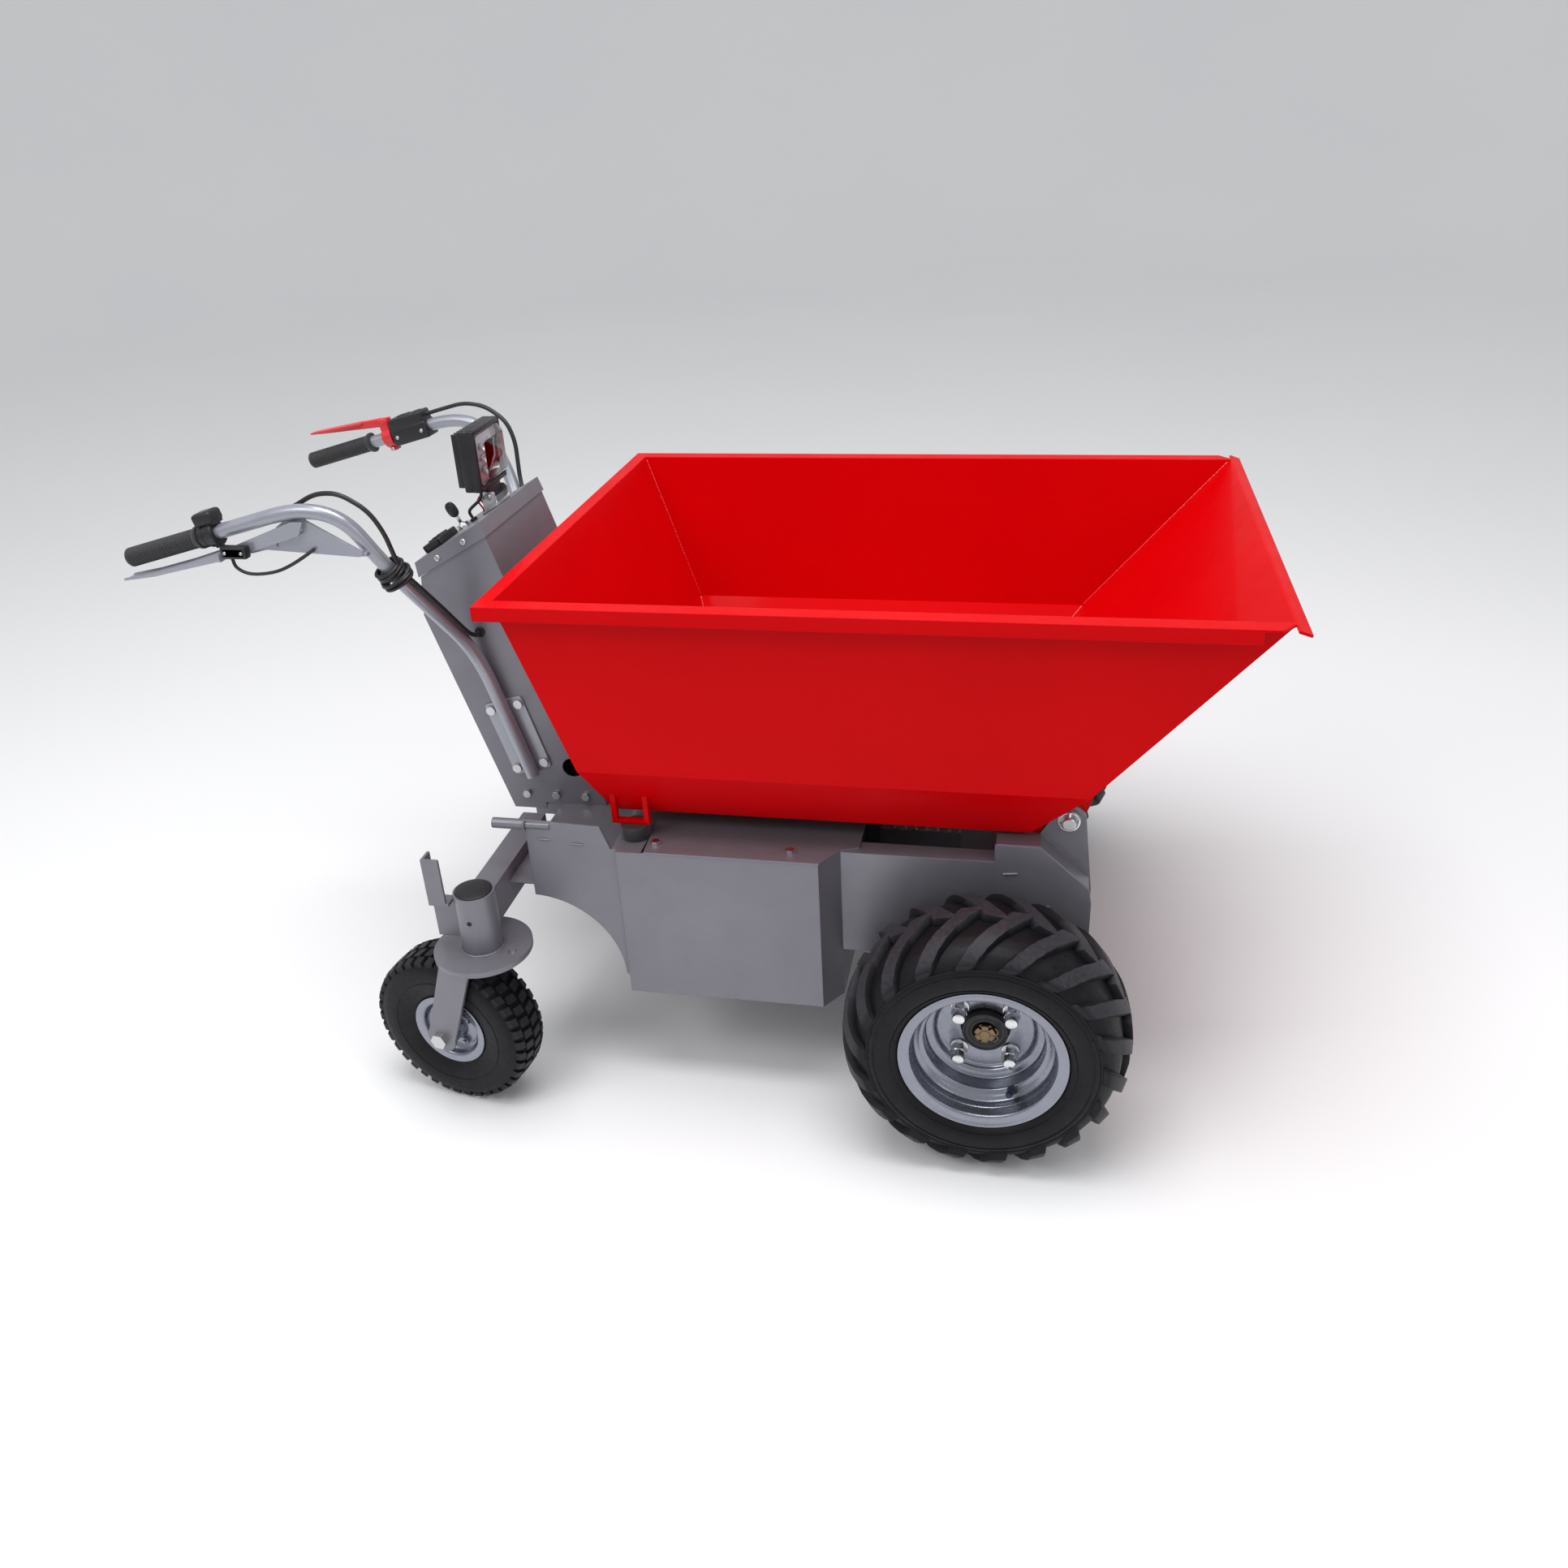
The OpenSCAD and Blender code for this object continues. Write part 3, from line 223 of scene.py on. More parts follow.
GREY = (0.196, 0.193, 0.222)
M = {
    "red": coat("hopper_paint", (0.60, 0.0004, 0.0022), rough=0.36, clear=0.07, clear_rough=0.06, spec=0.03,
                grain=260.0, grain_h=0.00005, blotch=3.0, vary=0.05, edge=0.0022),
    "grey": coat("chassis_paint", GREY, rough=0.4, metal=0.45, clear=0.25, clear_rough=0.25, grain=1500.0,
                 grain_h=0.00005, blotch=5.0, vary=0.07, edge=0.0014, dust=0.06),
    "tube": coat("handle_paint", (0.33, 0.34, 0.39), rough=0.32, metal=0.5, clear=0.4, clear_rough=0.12, grain=1500.0,
                 grain_h=0.00004, blotch=6.0, vary=0.06, edge=0.001),
    "bead": coat("weld_bead_paint", shade(GREY, 0.95), rough=0.36, metal=0.45, grain=500.0, grain_h=0.0001,
                 edge=0),
    "red_bead": coat("hopper_weld_paint", (0.70, 0.004, 0.008), rough=0.24, clear=0.9, grain=500.0,
                     grain_h=0.0001, edge=0),
    "zinc": brushed("zinc_plate", (0.60, 0.60, 0.61), 0.30),
    "chrome": brushed("nut_plate", (0.72, 0.72, 0.74), 0.2, lines=(9.0, 300.0, 9.0)),
    "plastic": coat("black_moulding", (0.010, 0.010, 0.012), rough=0.42, grain=1100.0, grain_h=0.00008,
                    blotch=30.0, vary=0.2, edge=0.0012),
    "rubber": coat("black_rubber", (0.014, 0.014, 0.016), rough=0.6, grain=1300.0, grain_h=0.00008,
                   blotch=40.0, vary=0.25, edge=0.0006, soft=0.2),
    "cable": coat("cable_jacket", (0.010, 0.010, 0.012), rough=0.45, grain=1600.0, grain_h=0.00003,
                  blotch=60.0, vary=0.2, edge=0),
    "rim": coat("rim_paint", (0.27, 0.285, 0.335), rough=0.26, metal=0.85, clear=0.3, clear_rough=0.15,
                grain=1500.0, grain_h=0.00003, blotch=12.0, vary=0.06, edge=0),
    "lever_red": coat("lever_paint", (0.62, 0.008, 0.014), rough=0.34, clear=0.4, grain=700.0,
                      blotch=25.0, vary=0.08, edge=0.0009),
    "cast": coat("cast_housing", (0.035, 0.035, 0.038), rough=0.55, metal=0.5, grain=600.0, grain_h=0.00018,
                 blotch=20.0, vary=0.2, edge=0.002),
    "bronze": brushed("hub_nut", (0.24, 0.17, 0.10), 0.38),
    "tyre": tyre_material("tyre_rubber"),
    "clear": clear_material("lamp_lens_clear"),
    "mirror": coat("lamp_reflector", (0.66, 0.68, 0.72), rough=0.3, metal=0.3, clear=0.5, grain=500.0, vary=0.04,
                   edge=0),
    "led": coat("led_die", (0.86, 0.78, 0.30), rough=0.3, grain=900.0, blotch=200.0, vary=0.1, edge=0),
    "wire_red": coat("wire_red", (0.55, 0.01, 0.015), rough=0.4, blotch=80.0, edge=0),
    "wire_white": coat("wire_white", (0.72, 0.71, 0.68), rough=0.4, blotch=80.0, edge=0),
    "cap_blue": coat("valve_cap", (0.008, 0.014, 0.045), rough=0.35, blotch=90.0, edge=0.0004),
}
CAD_MATERIAL = {
    "grey": ["chassis_frame", "chassis_tub", "battery_cover", "lock_brackets", "column_shell", "column_back",
             "console_cap", "handle_right", "handle_left", "stop_lever", "drive_motor", "caster_fork_right",
             "caster_fork_left"],
    "zinc": ["hex_bolts", "pivot_pins", "linch_pins", "console_screws", "handle_bolts", "motor_controller",
             "wheel_nuts_right", "wheel_nuts_left", "caster_bolt_right", "caster_bolt_left"],
    "plastic": ["batteries", "kingpin_caps", "key_switch", "rocker_housing", "throttle_housing", "stop_switch",
                "switch_block", "lamp_bracket", "cable_glands", "cable_wrap", "ignition_key", "rocker",
                "throttle_thumb", "lamp_housing"],
    "rubber": ["rest_buffers", "grip_right", "grip_left"],
    "cable": ["throttle_cable", "switch_cable", "stop_switch_cable", "lamp_cable"],
    "cast": ["transaxle", "drive_hub_right", "drive_hub_left"],
    "red": ["hopper", "hopper_fittings"],
    "rim": ["drive_rim_right", "drive_rim_left", "caster_rim_right", "caster_rim_left"],
    "tyre": ["drive_tyre_right", "drive_tyre_left", "caster_tyre_right", "caster_tyre_left"],
    "lever_red": ["brake_lever", "brake_lever_mount"],
    "clear": ["lamp_lens"],
}
for key, names in CAD_MATERIAL.items():
    for name in names:
        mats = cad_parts[name].data.materials
        for i in range(len(mats)):
            mats[i] = M[key]
        if not len(mats):
            mats.append(M[key])


# ---- Mesh building ----

def piece(name, b, mat, body, angle=32, tread_face=None, replaces=()):
    """A mesh piece from a Build in the row frame, riding on a body unless body is None."""
    me = bpy.data.meshes.new(name)
    me.from_pydata([tuple(v) for v in b.v], [], [tuple(f) for f in b.f])
    me.update()
    bm = bmesh.new()
    bm.from_mesh(me)
    bmesh.ops.recalc_face_normals(bm, faces=bm.faces)
    bm.to_mesh(me)
    bm.free()
    me.polygons.foreach_set("use_smooth", [True] * len(me.polygons))
    me.set_sharp_from_angle(angle=math.radians(angle))
    if tread_face is not None:
        at = me.attributes.new("tread_face", "FLOAT", "POINT")
        at.data.foreach_set("value", np.array(tread_face, np.float32))
    o = bpy.data.objects.new(name, me)
    bpy.context.scene.collection.objects.link(o)
    me.materials.append(M[mat])
    if body:
        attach(o, body)
    if replaces:
        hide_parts(*replaces)
    return o


def flat(rings):
    return [p for ring in rings for p in ring]


def quads(rows, n):
    """Faces between rows + 1 rings of n points."""
    return [(i * n + k, i * n + (k + 1) % n, (i + 1) * n + (k + 1) % n, (i + 1) * n + k)
            for i in range(rows) for k in range(n)]


def power(v, k):
    """v raised to k with its sign kept, for squared-off ovals."""
    return math.copysign(abs(v) ** k, v)


class Build:
    """Collects points and faces of one piece."""

    def __init__(self):
        self.v, self.f, self.w = [], [], []

    def put(self, verts, faces, tread_face=0.0):
        base = len(self.v)
        self.v += [Vector(p) for p in verts]
        self.w += list(tread_face) if hasattr(tread_face, "__len__") else [tread_face] * len(verts)
        self.f += [[i + base for i in f] for f in faces]

    def map(self, fn):
        self.v = [fn(p) for p in self.v]

    def loft(self, rings, caps=True):
        n = len(rings[0])
        faces = quads(len(rings) - 1, n)
        if caps:
            faces.append(tuple(range(n - 1, -1, -1)))
            faces.append(tuple((len(rings) - 1) * n + k for k in range(n)))
        self.put(flat(rings), faces)

    def revolve(self, profile, seg=96, loop=True):
        """Profile of (radius, height) turned about Z."""
        n = len(profile)
        verts, faces = [], []
        for i in range(seg):
            a = 2 * PI * i / seg
            verts += [(r * math.cos(a), r * math.sin(a), h) for r, h in profile]
        for i in range(seg):
            j = (i + 1) % seg
            for k in range(n if loop else n - 1):
                m = (k + 1) % n
                faces.append((i * n + k, j * n + k, j * n + m, i * n + m))
        self.put(verts, faces)

    def tube(self, path, r, sides=12, caps=True):
        """A round bar along a path; r may be one radius or one for each point."""
        P = [Vector(p) for p in path]
        R = r if hasattr(r, "__len__") else [r] * len(P)
        t = (P[1] - P[0]).normalized()
        u = t.orthogonal().normalized()
        rings = []
        for i, p in enumerate(P):
            d = (P[min(i + 1, len(P) - 1)] - P[max(i - 1, 0)]).normalized()
            u = (u - d * u.dot(d)).normalized()
            w = d.cross(u)
            rings.append([p + R[i] * (math.cos(2 * PI * k / sides) * u + math.sin(2 * PI * k / sides) * w)
                          for k in range(sides)])
        self.loft(rings, caps=caps)


def rounded(points, r, n=4, closed=True):
    """Outline with each corner rounded to radius about r (a number, or one for each corner)."""
    P = [Vector(p) for p in points]
    N = len(P)
    out = []
    for i, p in enumerate(P):
        ri = r[i] if hasattr(r, "__len__") else r
        if (not closed and i in (0, N - 1)) or ri <= 0:
            out.append(p)
            continue
        a, b = P[i - 1], P[(i + 1) % N]
        ca = min(ri, (a - p).length * 0.48)
        cb = min(ri, (b - p).length * 0.48)
        s, e = p + (a - p).normalized() * ca, p + (b - p).normalized() * cb
        for k in range(n + 1):
            t = k / n
            out.append(s * (1 - t) ** 2 + p * 2 * t * (1 - t) + e * t * t)
    return out


def rolled(outline, r, n, closed=True):
    """A profile of (radius, height) with its corners rounded."""
    return [(p.x, p.y) for p in rounded([Vector((x, y, 0)) for x, y in outline], r, n, closed)]


def smooth_path(points, n=8):
    """Catmull-Rom curve through points."""
    P = [Vector(p) for p in points]
    P = [P[0] * 2 - P[1]] + P + [P[-1] * 2 - P[-2]]
    out = []
    for i in range(1, len(P) - 2):
        a, b, c, d = P[i - 1], P[i], P[i + 1], P[i + 2]
        for k in range(n):
            t = k / n
            out.append(0.5 * ((2 * b) + (c - a) * t + (2 * a - 5 * b + 4 * c - d) * t * t
                              + (3 * b - a - 3 * c + d) * t ** 3))
    out.append(P[-2])
    return out


def bead(name, points, r, body, mat="bead", pitch=0.0042, seed=1, flat=0.75):
    """A weld bead: overlapping ripples along a seam."""
    rnd = random.Random(seed)
    P = [Vector(p) for p in points]
    b = Build()
    path, rad = [], []
    for a, c in zip(P, P[1:]):
        length = (c - a).length
        steps = max(4, int(length / pitch * 3))
        for i in range(steps):
            t = i / steps
            path.append(a + (c - a) * t + Vector([rnd.uniform(-1, 1) * r * 0.06 for _ in range(3)]))
            rad.append(r * (0.82 + 0.18 * abs(math.sin(PI * i / 3))) * rnd.uniform(0.94, 1.06))
    path.append(P[-1])
    rad.append(r * 0.6)
    rad[0] = r * 0.6
    b.tube(path, rad, 8)
    return piece(name, b, mat, body, angle=60)


def mm(*v):
    return Vector([c / 1000 for c in v])


def rel(x, y, z):
    """Millimetres from above the drive axle, in the row frame."""
    return Vector((x / 1000 + AX, y / 1000, z / 1000))


def wheel_map(side):
    """Local (x, y, h) with h outboard, to the row frame at a drive wheel."""
    s = SIDES[side]
    return lambda p: Vector((AX + p[0], s * (WHEEL_Y + p[2]), AXLE_Z + p[1]))


# ---- Drive tyres: moulded carcass with angled lugs ----

CARCASS = [(0.1885, 0.0), (0.1880, 0.020), (0.1862, 0.038), (0.1820, 0.052), (0.1755, 0.063), (0.1670, 0.0705),
           (0.1585, 0.0745), (0.1560, 0.0765), (0.1530, 0.0775), (0.1420, 0.0790), (0.1320, 0.0785),
           (0.1245, 0.0755), (0.1195, 0.0715), (0.1176, 0.0685), (0.1150, 0.0655), (0.1025, 0.0640)]


def on_carcass(s):
    """Point (radius, across) and outward normal at distance s from the crown along the carcass."""
    run = 0.0
    for (r0, w0), (r1, w1) in zip(CARCASS, CARCASS[1:]):
        d = math.hypot(r1 - r0, w1 - w0)
        if run + d >= s:
            t = (s - run) / d
            return r0 + (r1 - r0) * t, w0 + (w1 - w0) * t, ((w1 - w0) / d, -(r1 - r0) / d)
        run += d
    return *CARCASS[-1], (0.0, 1.0)


def tyre(side):
    b = Build()
    half = CARCASS[1:]
    outline = [(r, -w) for r, w in reversed(half)] + [CARCASS[0]] + half
    smooth = rolled(outline, 0.003, 2, closed=False)
    inner = [(0.1025, 0.060), (0.150, 0.068), (0.178, 0.045), (0.181, 0.0), (0.178, -0.045), (0.150, -0.068),
             (0.1025, -0.060)]
    b.revolve(smooth + inner, 144)
    lugs = 18
    for lug in range(2 * lugs):
        sign = 1 if lug % 2 else -1
        start = PI * lug / lugs
        rings, tread_face = [], []
        stations = 15
        for i in range(stations + 1):
            t = i / stations
            s = -0.010 + 0.095 * t
            r, w, nrm = on_carcass(abs(s))
            if s < 0:
                w, nrm = -w, (nrm[0], -nrm[1])
            skew = 0.080 * t ** 1.15
            theta = start + (0.012 - skew) / 0.19
            height = 0.0138 * (1 - 0.3 * t) if t < 0.95 else 0.0028
            height = max(height, 0.0012)
            foot = 0.0186 if t > 0.12 else 0.0204
            top = foot - 0.0050 if t < 0.95 else foot - 0.0062
            if i == 0:
                height, top = height * 0.94, top - 0.001
            ring = []
            for across, up in ((-foot, -0.003), (-foot, 0.0006), (-top - 0.0008, height - 0.0012), (-top, height),
                               (top, height), (top + 0.0008, height - 0.0012), (foot, 0.0006), (foot, -0.003)):
                rr = min(r + nrm[0] * up, 0.2016)
                ww = w + nrm[1] * up
                ang = theta + across / 0.19 * (1.0 if t < 0.15 else 0.92)
                slant = across * 0.52
                ww2 = ww - slant * (1 - t) * 0.35
                ring.append(Vector((rr * math.sin(ang), rr * math.cos(ang), sign * min(ww2, 0.0795))))
                # lug tops take the lighter tread-face colour in full, lug sides a little of it
                tread_face.append(1.0 if up > height * 0.9 and t < 0.93 else (0.12 if up > 0.001 else 0.0))
            rings.append(ring)
        n = len(rings[0])
        faces = quads(stations, n)
        faces += [tuple(range(n)), tuple(stations * n + k for k in range(n))]
        if sign < 0:
            faces = [tuple(reversed(f)) for f in faces]
        b.put(flat(rings), faces, tread_face)
    for ring_r, ring_w, wire in ((0.1588, 0.0748, 0.0013), (0.1500, 0.0783, 0.0006), (0.1260, 0.0767, 0.0006)):
        b.put(*ring_wire(ring_r, ring_w, wire, 120))
    rnd = random.Random(7)
    for i in range(96):
        s = rnd.choice((0.03, 0.055, 0.075, 0.09, 0.10, 0.115, 0.125))
        r, w, nrm = on_carcass(s)
        a = rnd.uniform(0, 2 * PI)
        p0 = Vector((r * math.sin(a), r * math.cos(a), w - 0.0005))
        out = Vector((nrm[0] * math.sin(a), nrm[0] * math.cos(a), nrm[1]))
        tip = p0 + out * rnd.uniform(0.0030, 0.0060) + Vector([rnd.uniform(-1, 1) * 0.001 for _ in range(3)])
        if math.hypot(tip.x, tip.y) < 0.2014 and tip.z < 0.0798:
            b.tube([p0, (p0 + tip) / 2, tip], [0.0005, 0.0004, 0.0002], 5)
    b.map(wheel_map(side))
    return piece(f"tractor_tyre_{side}", b, "tyre", f"drive_wheel_{side}", 28, b.w,
                 replaces=(f"drive_tyre_{side}",))


def ring_wire(r, w, t, seg):
    b = Build()
    b.revolve([(r - t, w - t), (r + t, w - t), (r + t, w + t), (r - t, w + t)], seg)
    return b.v, b.f


def rim(side):
    """Two-piece steel rim: rolled flanges, bead seats, drop centre and a flat disc with four studs."""
    b = Build()
    outer = [(0.034, -0.0035), (0.0665, -0.0035), (0.0695, -0.0015), (0.0705, 0.0015), (0.0745, 0.0045),
             (0.0830, 0.0060), (0.0838, 0.0080), (0.0838, 0.0275), (0.0850, 0.0295), (0.0900, 0.0315),
             (0.0930, 0.0345), (0.0975, 0.0375), (0.0985, 0.0400), (0.0985, 0.0480), (0.1000, 0.0500),
             (0.1000, 0.0640), (0.1020, 0.0665), (0.1100, 0.0683), (0.1140, 0.0700), (0.1165, 0.0708),
             (0.1170, 0.0695), (0.1165, 0.0683), (0.1100, 0.0655), (0.1022, 0.0630), (0.1017, 0.0500),
             (0.1005, 0.0385), (0.0870, 0.0250), (0.0850, 0.0230), (0.0850, -0.0280), (0.1017, -0.0400),
             (0.1017, -0.0645), (0.1100, -0.0672), (0.1165, -0.0680), (0.1170, -0.0697), (0.1160, -0.0708),
             (0.1080, -0.0695), (0.0985, -0.0668), (0.0985, -0.0410), (0.0822, -0.0290), (0.0822, -0.0075),
             (0.034, -0.0075)]
    prof = rolled(outer, 0.0016, 2)
    b.revolve(prof, 128)
    b.map(wheel_map(side))
    piece(f"steel_rim_{side}", b, "rim", f"drive_wheel_{side}", 40,
          replaces=(f"drive_rim_{side}",))


def nuts(side):
    """Long capped wheel nuts, the hub's seal and its castle nut."""
    b = Build()
    for k in range(4):
        a = PI / 4 + k * PI / 2
        cx, cy = 0.051 * math.cos(a), 0.051 * math.sin(a)
        rings = []
        for h, r, six in ((-0.0030, 0.0132, 0), (-0.0002, 0.0134, 0), (0.0006, 0.0128, 0), (0.0008, 0.0118, 1),
                          (0.0150, 0.0118, 1), (0.0162, 0.0108, 1), (0.0164, 0.0098, 0), (0.0262, 0.0095, 0),
                          (0.0284, 0.0084, 0), (0.0296, 0.0055, 0), (0.0300, 0.0002, 0)):
            ring = []
            for i in range(24):
                t = 2 * PI * i / 24
                rr = r * math.cos(PI / 6) / math.cos((t + 1e-6) % (PI / 3) - PI / 6) if six else r
                ring.append(Vector((cx + rr * math.cos(t), cy + rr * math.sin(t), h)))
            rings.append(ring)
        b.loft(rings)
    b.map(wheel_map(side))
    piece(f"capped_nuts_{side}", b, "chrome", f"drive_wheel_{side}", 30,
          replaces=(f"wheel_nuts_{side}",))
    b = Build()
    b.revolve([(0.0165, -0.004), (0.0325, -0.004), (0.0325, 0.0062), (0.0315, 0.0075), (0.0290, 0.0078),
               (0.0280, 0.0062), (0.0230, 0.0055), (0.0215, 0.0066), (0.0185, 0.0066), (0.0165, 0.0050)], 64)
    b.map(wheel_map(side))
    piece(f"hub_seal_{side}", b, "plastic", f"drive_wheel_{side}", 30)
    b = Build()
    rings = []
    for h, r, slot in ((-0.004, 0.0155, 0), (0.0075, 0.0155, 0), (0.0078, 0.0150, 1), (0.0118, 0.0146, 1),
                       (0.0122, 0.0138, 1)):
        ring = []
        for i in range(72):
            t = 2 * PI * i / 72
            rr = r * math.cos(PI / 6) / math.cos(t % (PI / 3) - PI / 6) if not slot else r
            if slot and (i % 12) in (0, 1, 11):
                rr = 0.0098
            ring.append(Vector((rr * math.cos(t), rr * math.sin(t), h)))
        rings.append(ring)
    b.loft(rings)
    b.revolve([(0.0, 0.004), (0.0078, 0.004), (0.0078, 0.0128), (0.0068, 0.0136), (0.0, 0.0136)], 32, loop=False)
    b.tube([mm(-13, 0.5, 11.2), mm(13, 0.5, 11.2)], 0.0016, 8)
    b.tube(smooth_path([mm(13, 1, 11.2), mm(17.5, 3, 11.5), mm(17.5, 8, 11), mm(14, 12, 10.5)], 4), 0.0014, 6)
    b.tube(smooth_path([mm(13, 0, 11.2), mm(17.8, -3, 11.5), mm(17, -8, 11), mm(13, -12, 10.5)], 4), 0.0014, 6)
    b.map(wheel_map(side))
    piece(f"castle_nut_{side}", b, "bronze", f"drive_wheel_{side}", 30)
    b = Build()
    a = math.radians(-62)
    b.revolve([(0.0, 0.0), (0.0062, 0.0), (0.0066, 0.006), (0.0040, 0.010), (0.0038, 0.022), (0.0, 0.022)], 24,
              loop=False)
    base = Vector((0.0880 * math.cos(a), 0.0880 * math.sin(a), 0.0300))
    lean = Matrix.Rotation(math.radians(-22), 3, Vector((-math.sin(a), math.cos(a), 0)))
    b.map(lambda p: base + lean @ Vector(p))
    b.map(wheel_map(side))
    piece(f"valve_stem_{side}", b, "rubber", f"drive_wheel_{side}", 35)
    b = Build()
    rings = []
    for h, r in ((0.015, 0.0046), (0.0155, 0.0050), (0.0245, 0.0050), (0.0262, 0.0040), (0.0266, 0.0010)):
        rings.append([Vector(((r - (0.0005 if i % 2 else 0)) * math.cos(2 * PI * i / 24),
                              (r - (0.0005 if i % 2 else 0)) * math.sin(2 * PI * i / 24), h)) for i in range(24)])
    b.loft(rings)
    b.map(lambda p: base + lean @ Vector(p))
    b.map(wheel_map(side))
    piece(f"valve_cap_{side}", b, "cap_blue", f"drive_wheel_{side}", 35)


for side in SIDES:
    tyre(side)
    rim(side)
    nuts(side)


# ---- Caster tyres and rims ----

TURN = math.radians(-10)
KING = {"right": Vector((-0.274, -0.433, 0)), "left": Vector((-0.274, 0.433, 0))}
CASTER_R = 0.131
TRAIL = 0.069


def caster_map(side):
    """Local (x, y, h) of a wheel lying in its own plane, to the row frame at a caster."""
    fwd = Vector((math.cos(TURN), math.sin(TURN), 0))
    out = Vector((math.sin(TURN), -math.cos(TURN), 0))
    c = KING[side] - fwd * TRAIL + Vector((0, 0, CASTER_R))
    return lambda p: c + fwd * p[0] + Vector((0, 0, p[1])) + out * p[2]


def block_radii(w):
    """Foot and top radius of a tread block at distance w from the tyre's middle."""
    for limit, radii in ((0.015, (0.1252, 0.1308)), (0.024, (0.1240, 0.1300)), (0.030, (0.1238, 0.1297))):
        if w < limit:
            return radii
    return 0.1205, 0.1262


def caster_tyre(side):
    b = Build()
    half = [(0.1255, 0.012), (0.1245, 0.022), (0.1222, 0.030), (0.1170, 0.0355), (0.1090, 0.0378), (0.0980, 0.0385),
            (0.0880, 0.0378), (0.0780, 0.0352), (0.0700, 0.0325), (0.0640, 0.0300), (0.0618, 0.0290),
            (0.0600, 0.0245), (0.0515, 0.0232)]
    outline = [(r, -w) for r, w in reversed(half)] + [(0.1258, 0.0)] + half
    prof = rolled(outline, 0.002, 2, closed=False)
    inner = [(0.0515, 0.021), (0.085, 0.031), (0.118, 0.024), (0.121, 0.0), (0.118, -0.024), (0.085, -0.031),
             (0.0515, -0.021)]
    b.revolve(prof + inner, 96)
    count = 38
    for row, (w0, w1) in enumerate(((-0.0345, -0.0225), (-0.0205, -0.0015), (0.0015, 0.0205), (0.0225, 0.0345))):
        for i in range(count):
            a0 = 2 * PI * (i + (0.5 if row in (1, 3) else 0.0)) / count
            rings = []
            for up, shrink in ((-0.0025, 0.0), (0.0002, 0.0), (1.0, 0.0009)):
                ring = []
                for da, w in ((-1, w0 + shrink), (1, w0 + shrink), (1, w1 - shrink), (-1, w1 - shrink)):
                    mid = (w0 + w1) / 2
                    r_base, r_top = block_radii(abs(w))
                    r = r_top if up == 1.0 else r_base + up
                    width = (0.0074 - shrink) / 0.13
                    zig = 0.0016 * (1 if w > mid else -1) / 0.13 * (1 if row < 2 else -1)
                    ang = a0 + da * width + zig
                    ring.append(Vector((r * math.sin(ang), r * math.cos(ang), w)))
                rings.append(ring)
            # block tops take part of the lighter tread-face colour
            b.put(flat(rings), quads(2, 4) + [(8, 9, 10, 11)], [0.0] * 8 + [0.55] * 4)
    b.put(*ring_wire(0.0905, 0.0381, 0.0005, 96))
    b.map(caster_map(side))
    piece(f"block_tyre_{side}", b, "tyre", f"caster_wheel_{side}", 28, b.w,
          replaces=(f"caster_tyre_{side}",))


def caster_rim(side):
    b = Build()
    q = [(0.0081, 0.0455), (0.0200, 0.0455), (0.0205, 0.0180), (0.0230, 0.0135), (0.0300, 0.0120), (0.0380, 0.0140),
         (0.0440, 0.0175), (0.0465, 0.0215), (0.0475, 0.0275), (0.0500, 0.0300), (0.0560, 0.0312), (0.0605, 0.0318),
         (0.0618, 0.0305), (0.0605, 0.0285), (0.0530, 0.0262), (0.0506, 0.0240)]
    outline = q + [(r, -w) for r, w in reversed(q)]
    prof = rolled(outline, 0.0012, 2)
    b.revolve(prof, 80)
    for k in range(4):
        a = 2 * PI * k / 4 + 0.4
        for s in (1, -1):
            rings = []
            for h, r in ((0.0110, 0.0062), (0.0165, 0.0062), (0.0170, 0.0058), (0.0172, 0.0034), (0.0205, 0.0032),
                         (0.0208, 0.0020)):
                rings.append([Vector((0.033 * math.cos(a) + r * math.cos(2 * PI * i / 6),
                                      0.033 * math.sin(a) + r * math.sin(2 * PI * i / 6), s * h)) for i in range(6)])
            b.loft(rings)
    b.map(caster_map(side))
    piece(f"caster_wheel_rim_{side}", b, "rim", f"caster_wheel_{side}", 38,
          replaces=(f"caster_rim_{side}",))


for side in SIDES:
    caster_tyre(side)
    caster_rim(side)


# ---- Frames on the handles and the console ----

GRIP_TILT = 15
CONSOLE_TILT = 29.5


def turn_y(deg):
    a = math.radians(deg)
    return Matrix(((math.cos(a), 0, -math.sin(a)), (0, 1, 0), (math.sin(a), 0, math.cos(a))))


def handle_map(side, s=0.0):
    """Millimetres along the grip (x), across (y), above (z), to the row frame."""
    m, base = turn_y(GRIP_TILT), rel(-1276, 0, 820)
    return lambda p: base + m @ Vector(((p[0] + s) / 1000, SIDES[side] * (0.267 - p[1] / 1000), p[2] / 1000))


def console_map(u, v):
    m, base = turn_y(CONSOLE_TILT), rel(-903, 0, 767.4)
    return lambda p: base + m @ Vector(((p[0] + u) / 1000, (p[1] + v) / 1000, p[2] / 1000))


def rbox(b, x0, x1, y0, y1, z0, z1, r=2.0, fn=None, seg=3):
    """A box with rolled edges, in millimetres, put through fn into the row frame."""
    bm = bmesh.new()
    bmesh.ops.create_cube(bm, size=1.0)
    for v in bm.verts:
        v.co = Vector(((x0 + x1) / 2 + v.co.x * (x1 - x0), (y0 + y1) / 2 + v.co.y * (y1 - y0),
                       (z0 + z1) / 2 + v.co.z * (z1 - z0)))
    r = min(r, 0.49 * min(x1 - x0, y1 - y0, z1 - z0))
    bmesh.ops.bevel(bm, geom=bm.edges[:], offset=r, segments=seg, profile=0.5, affect="EDGES")
    bm.verts.ensure_lookup_table()
    verts = [fn(v.co) if fn else v.co / 1000 for v in bm.verts]
    faces = [[v.index for v in f.verts] for f in bm.faces]
    bm.free()
    b.put(verts, faces)


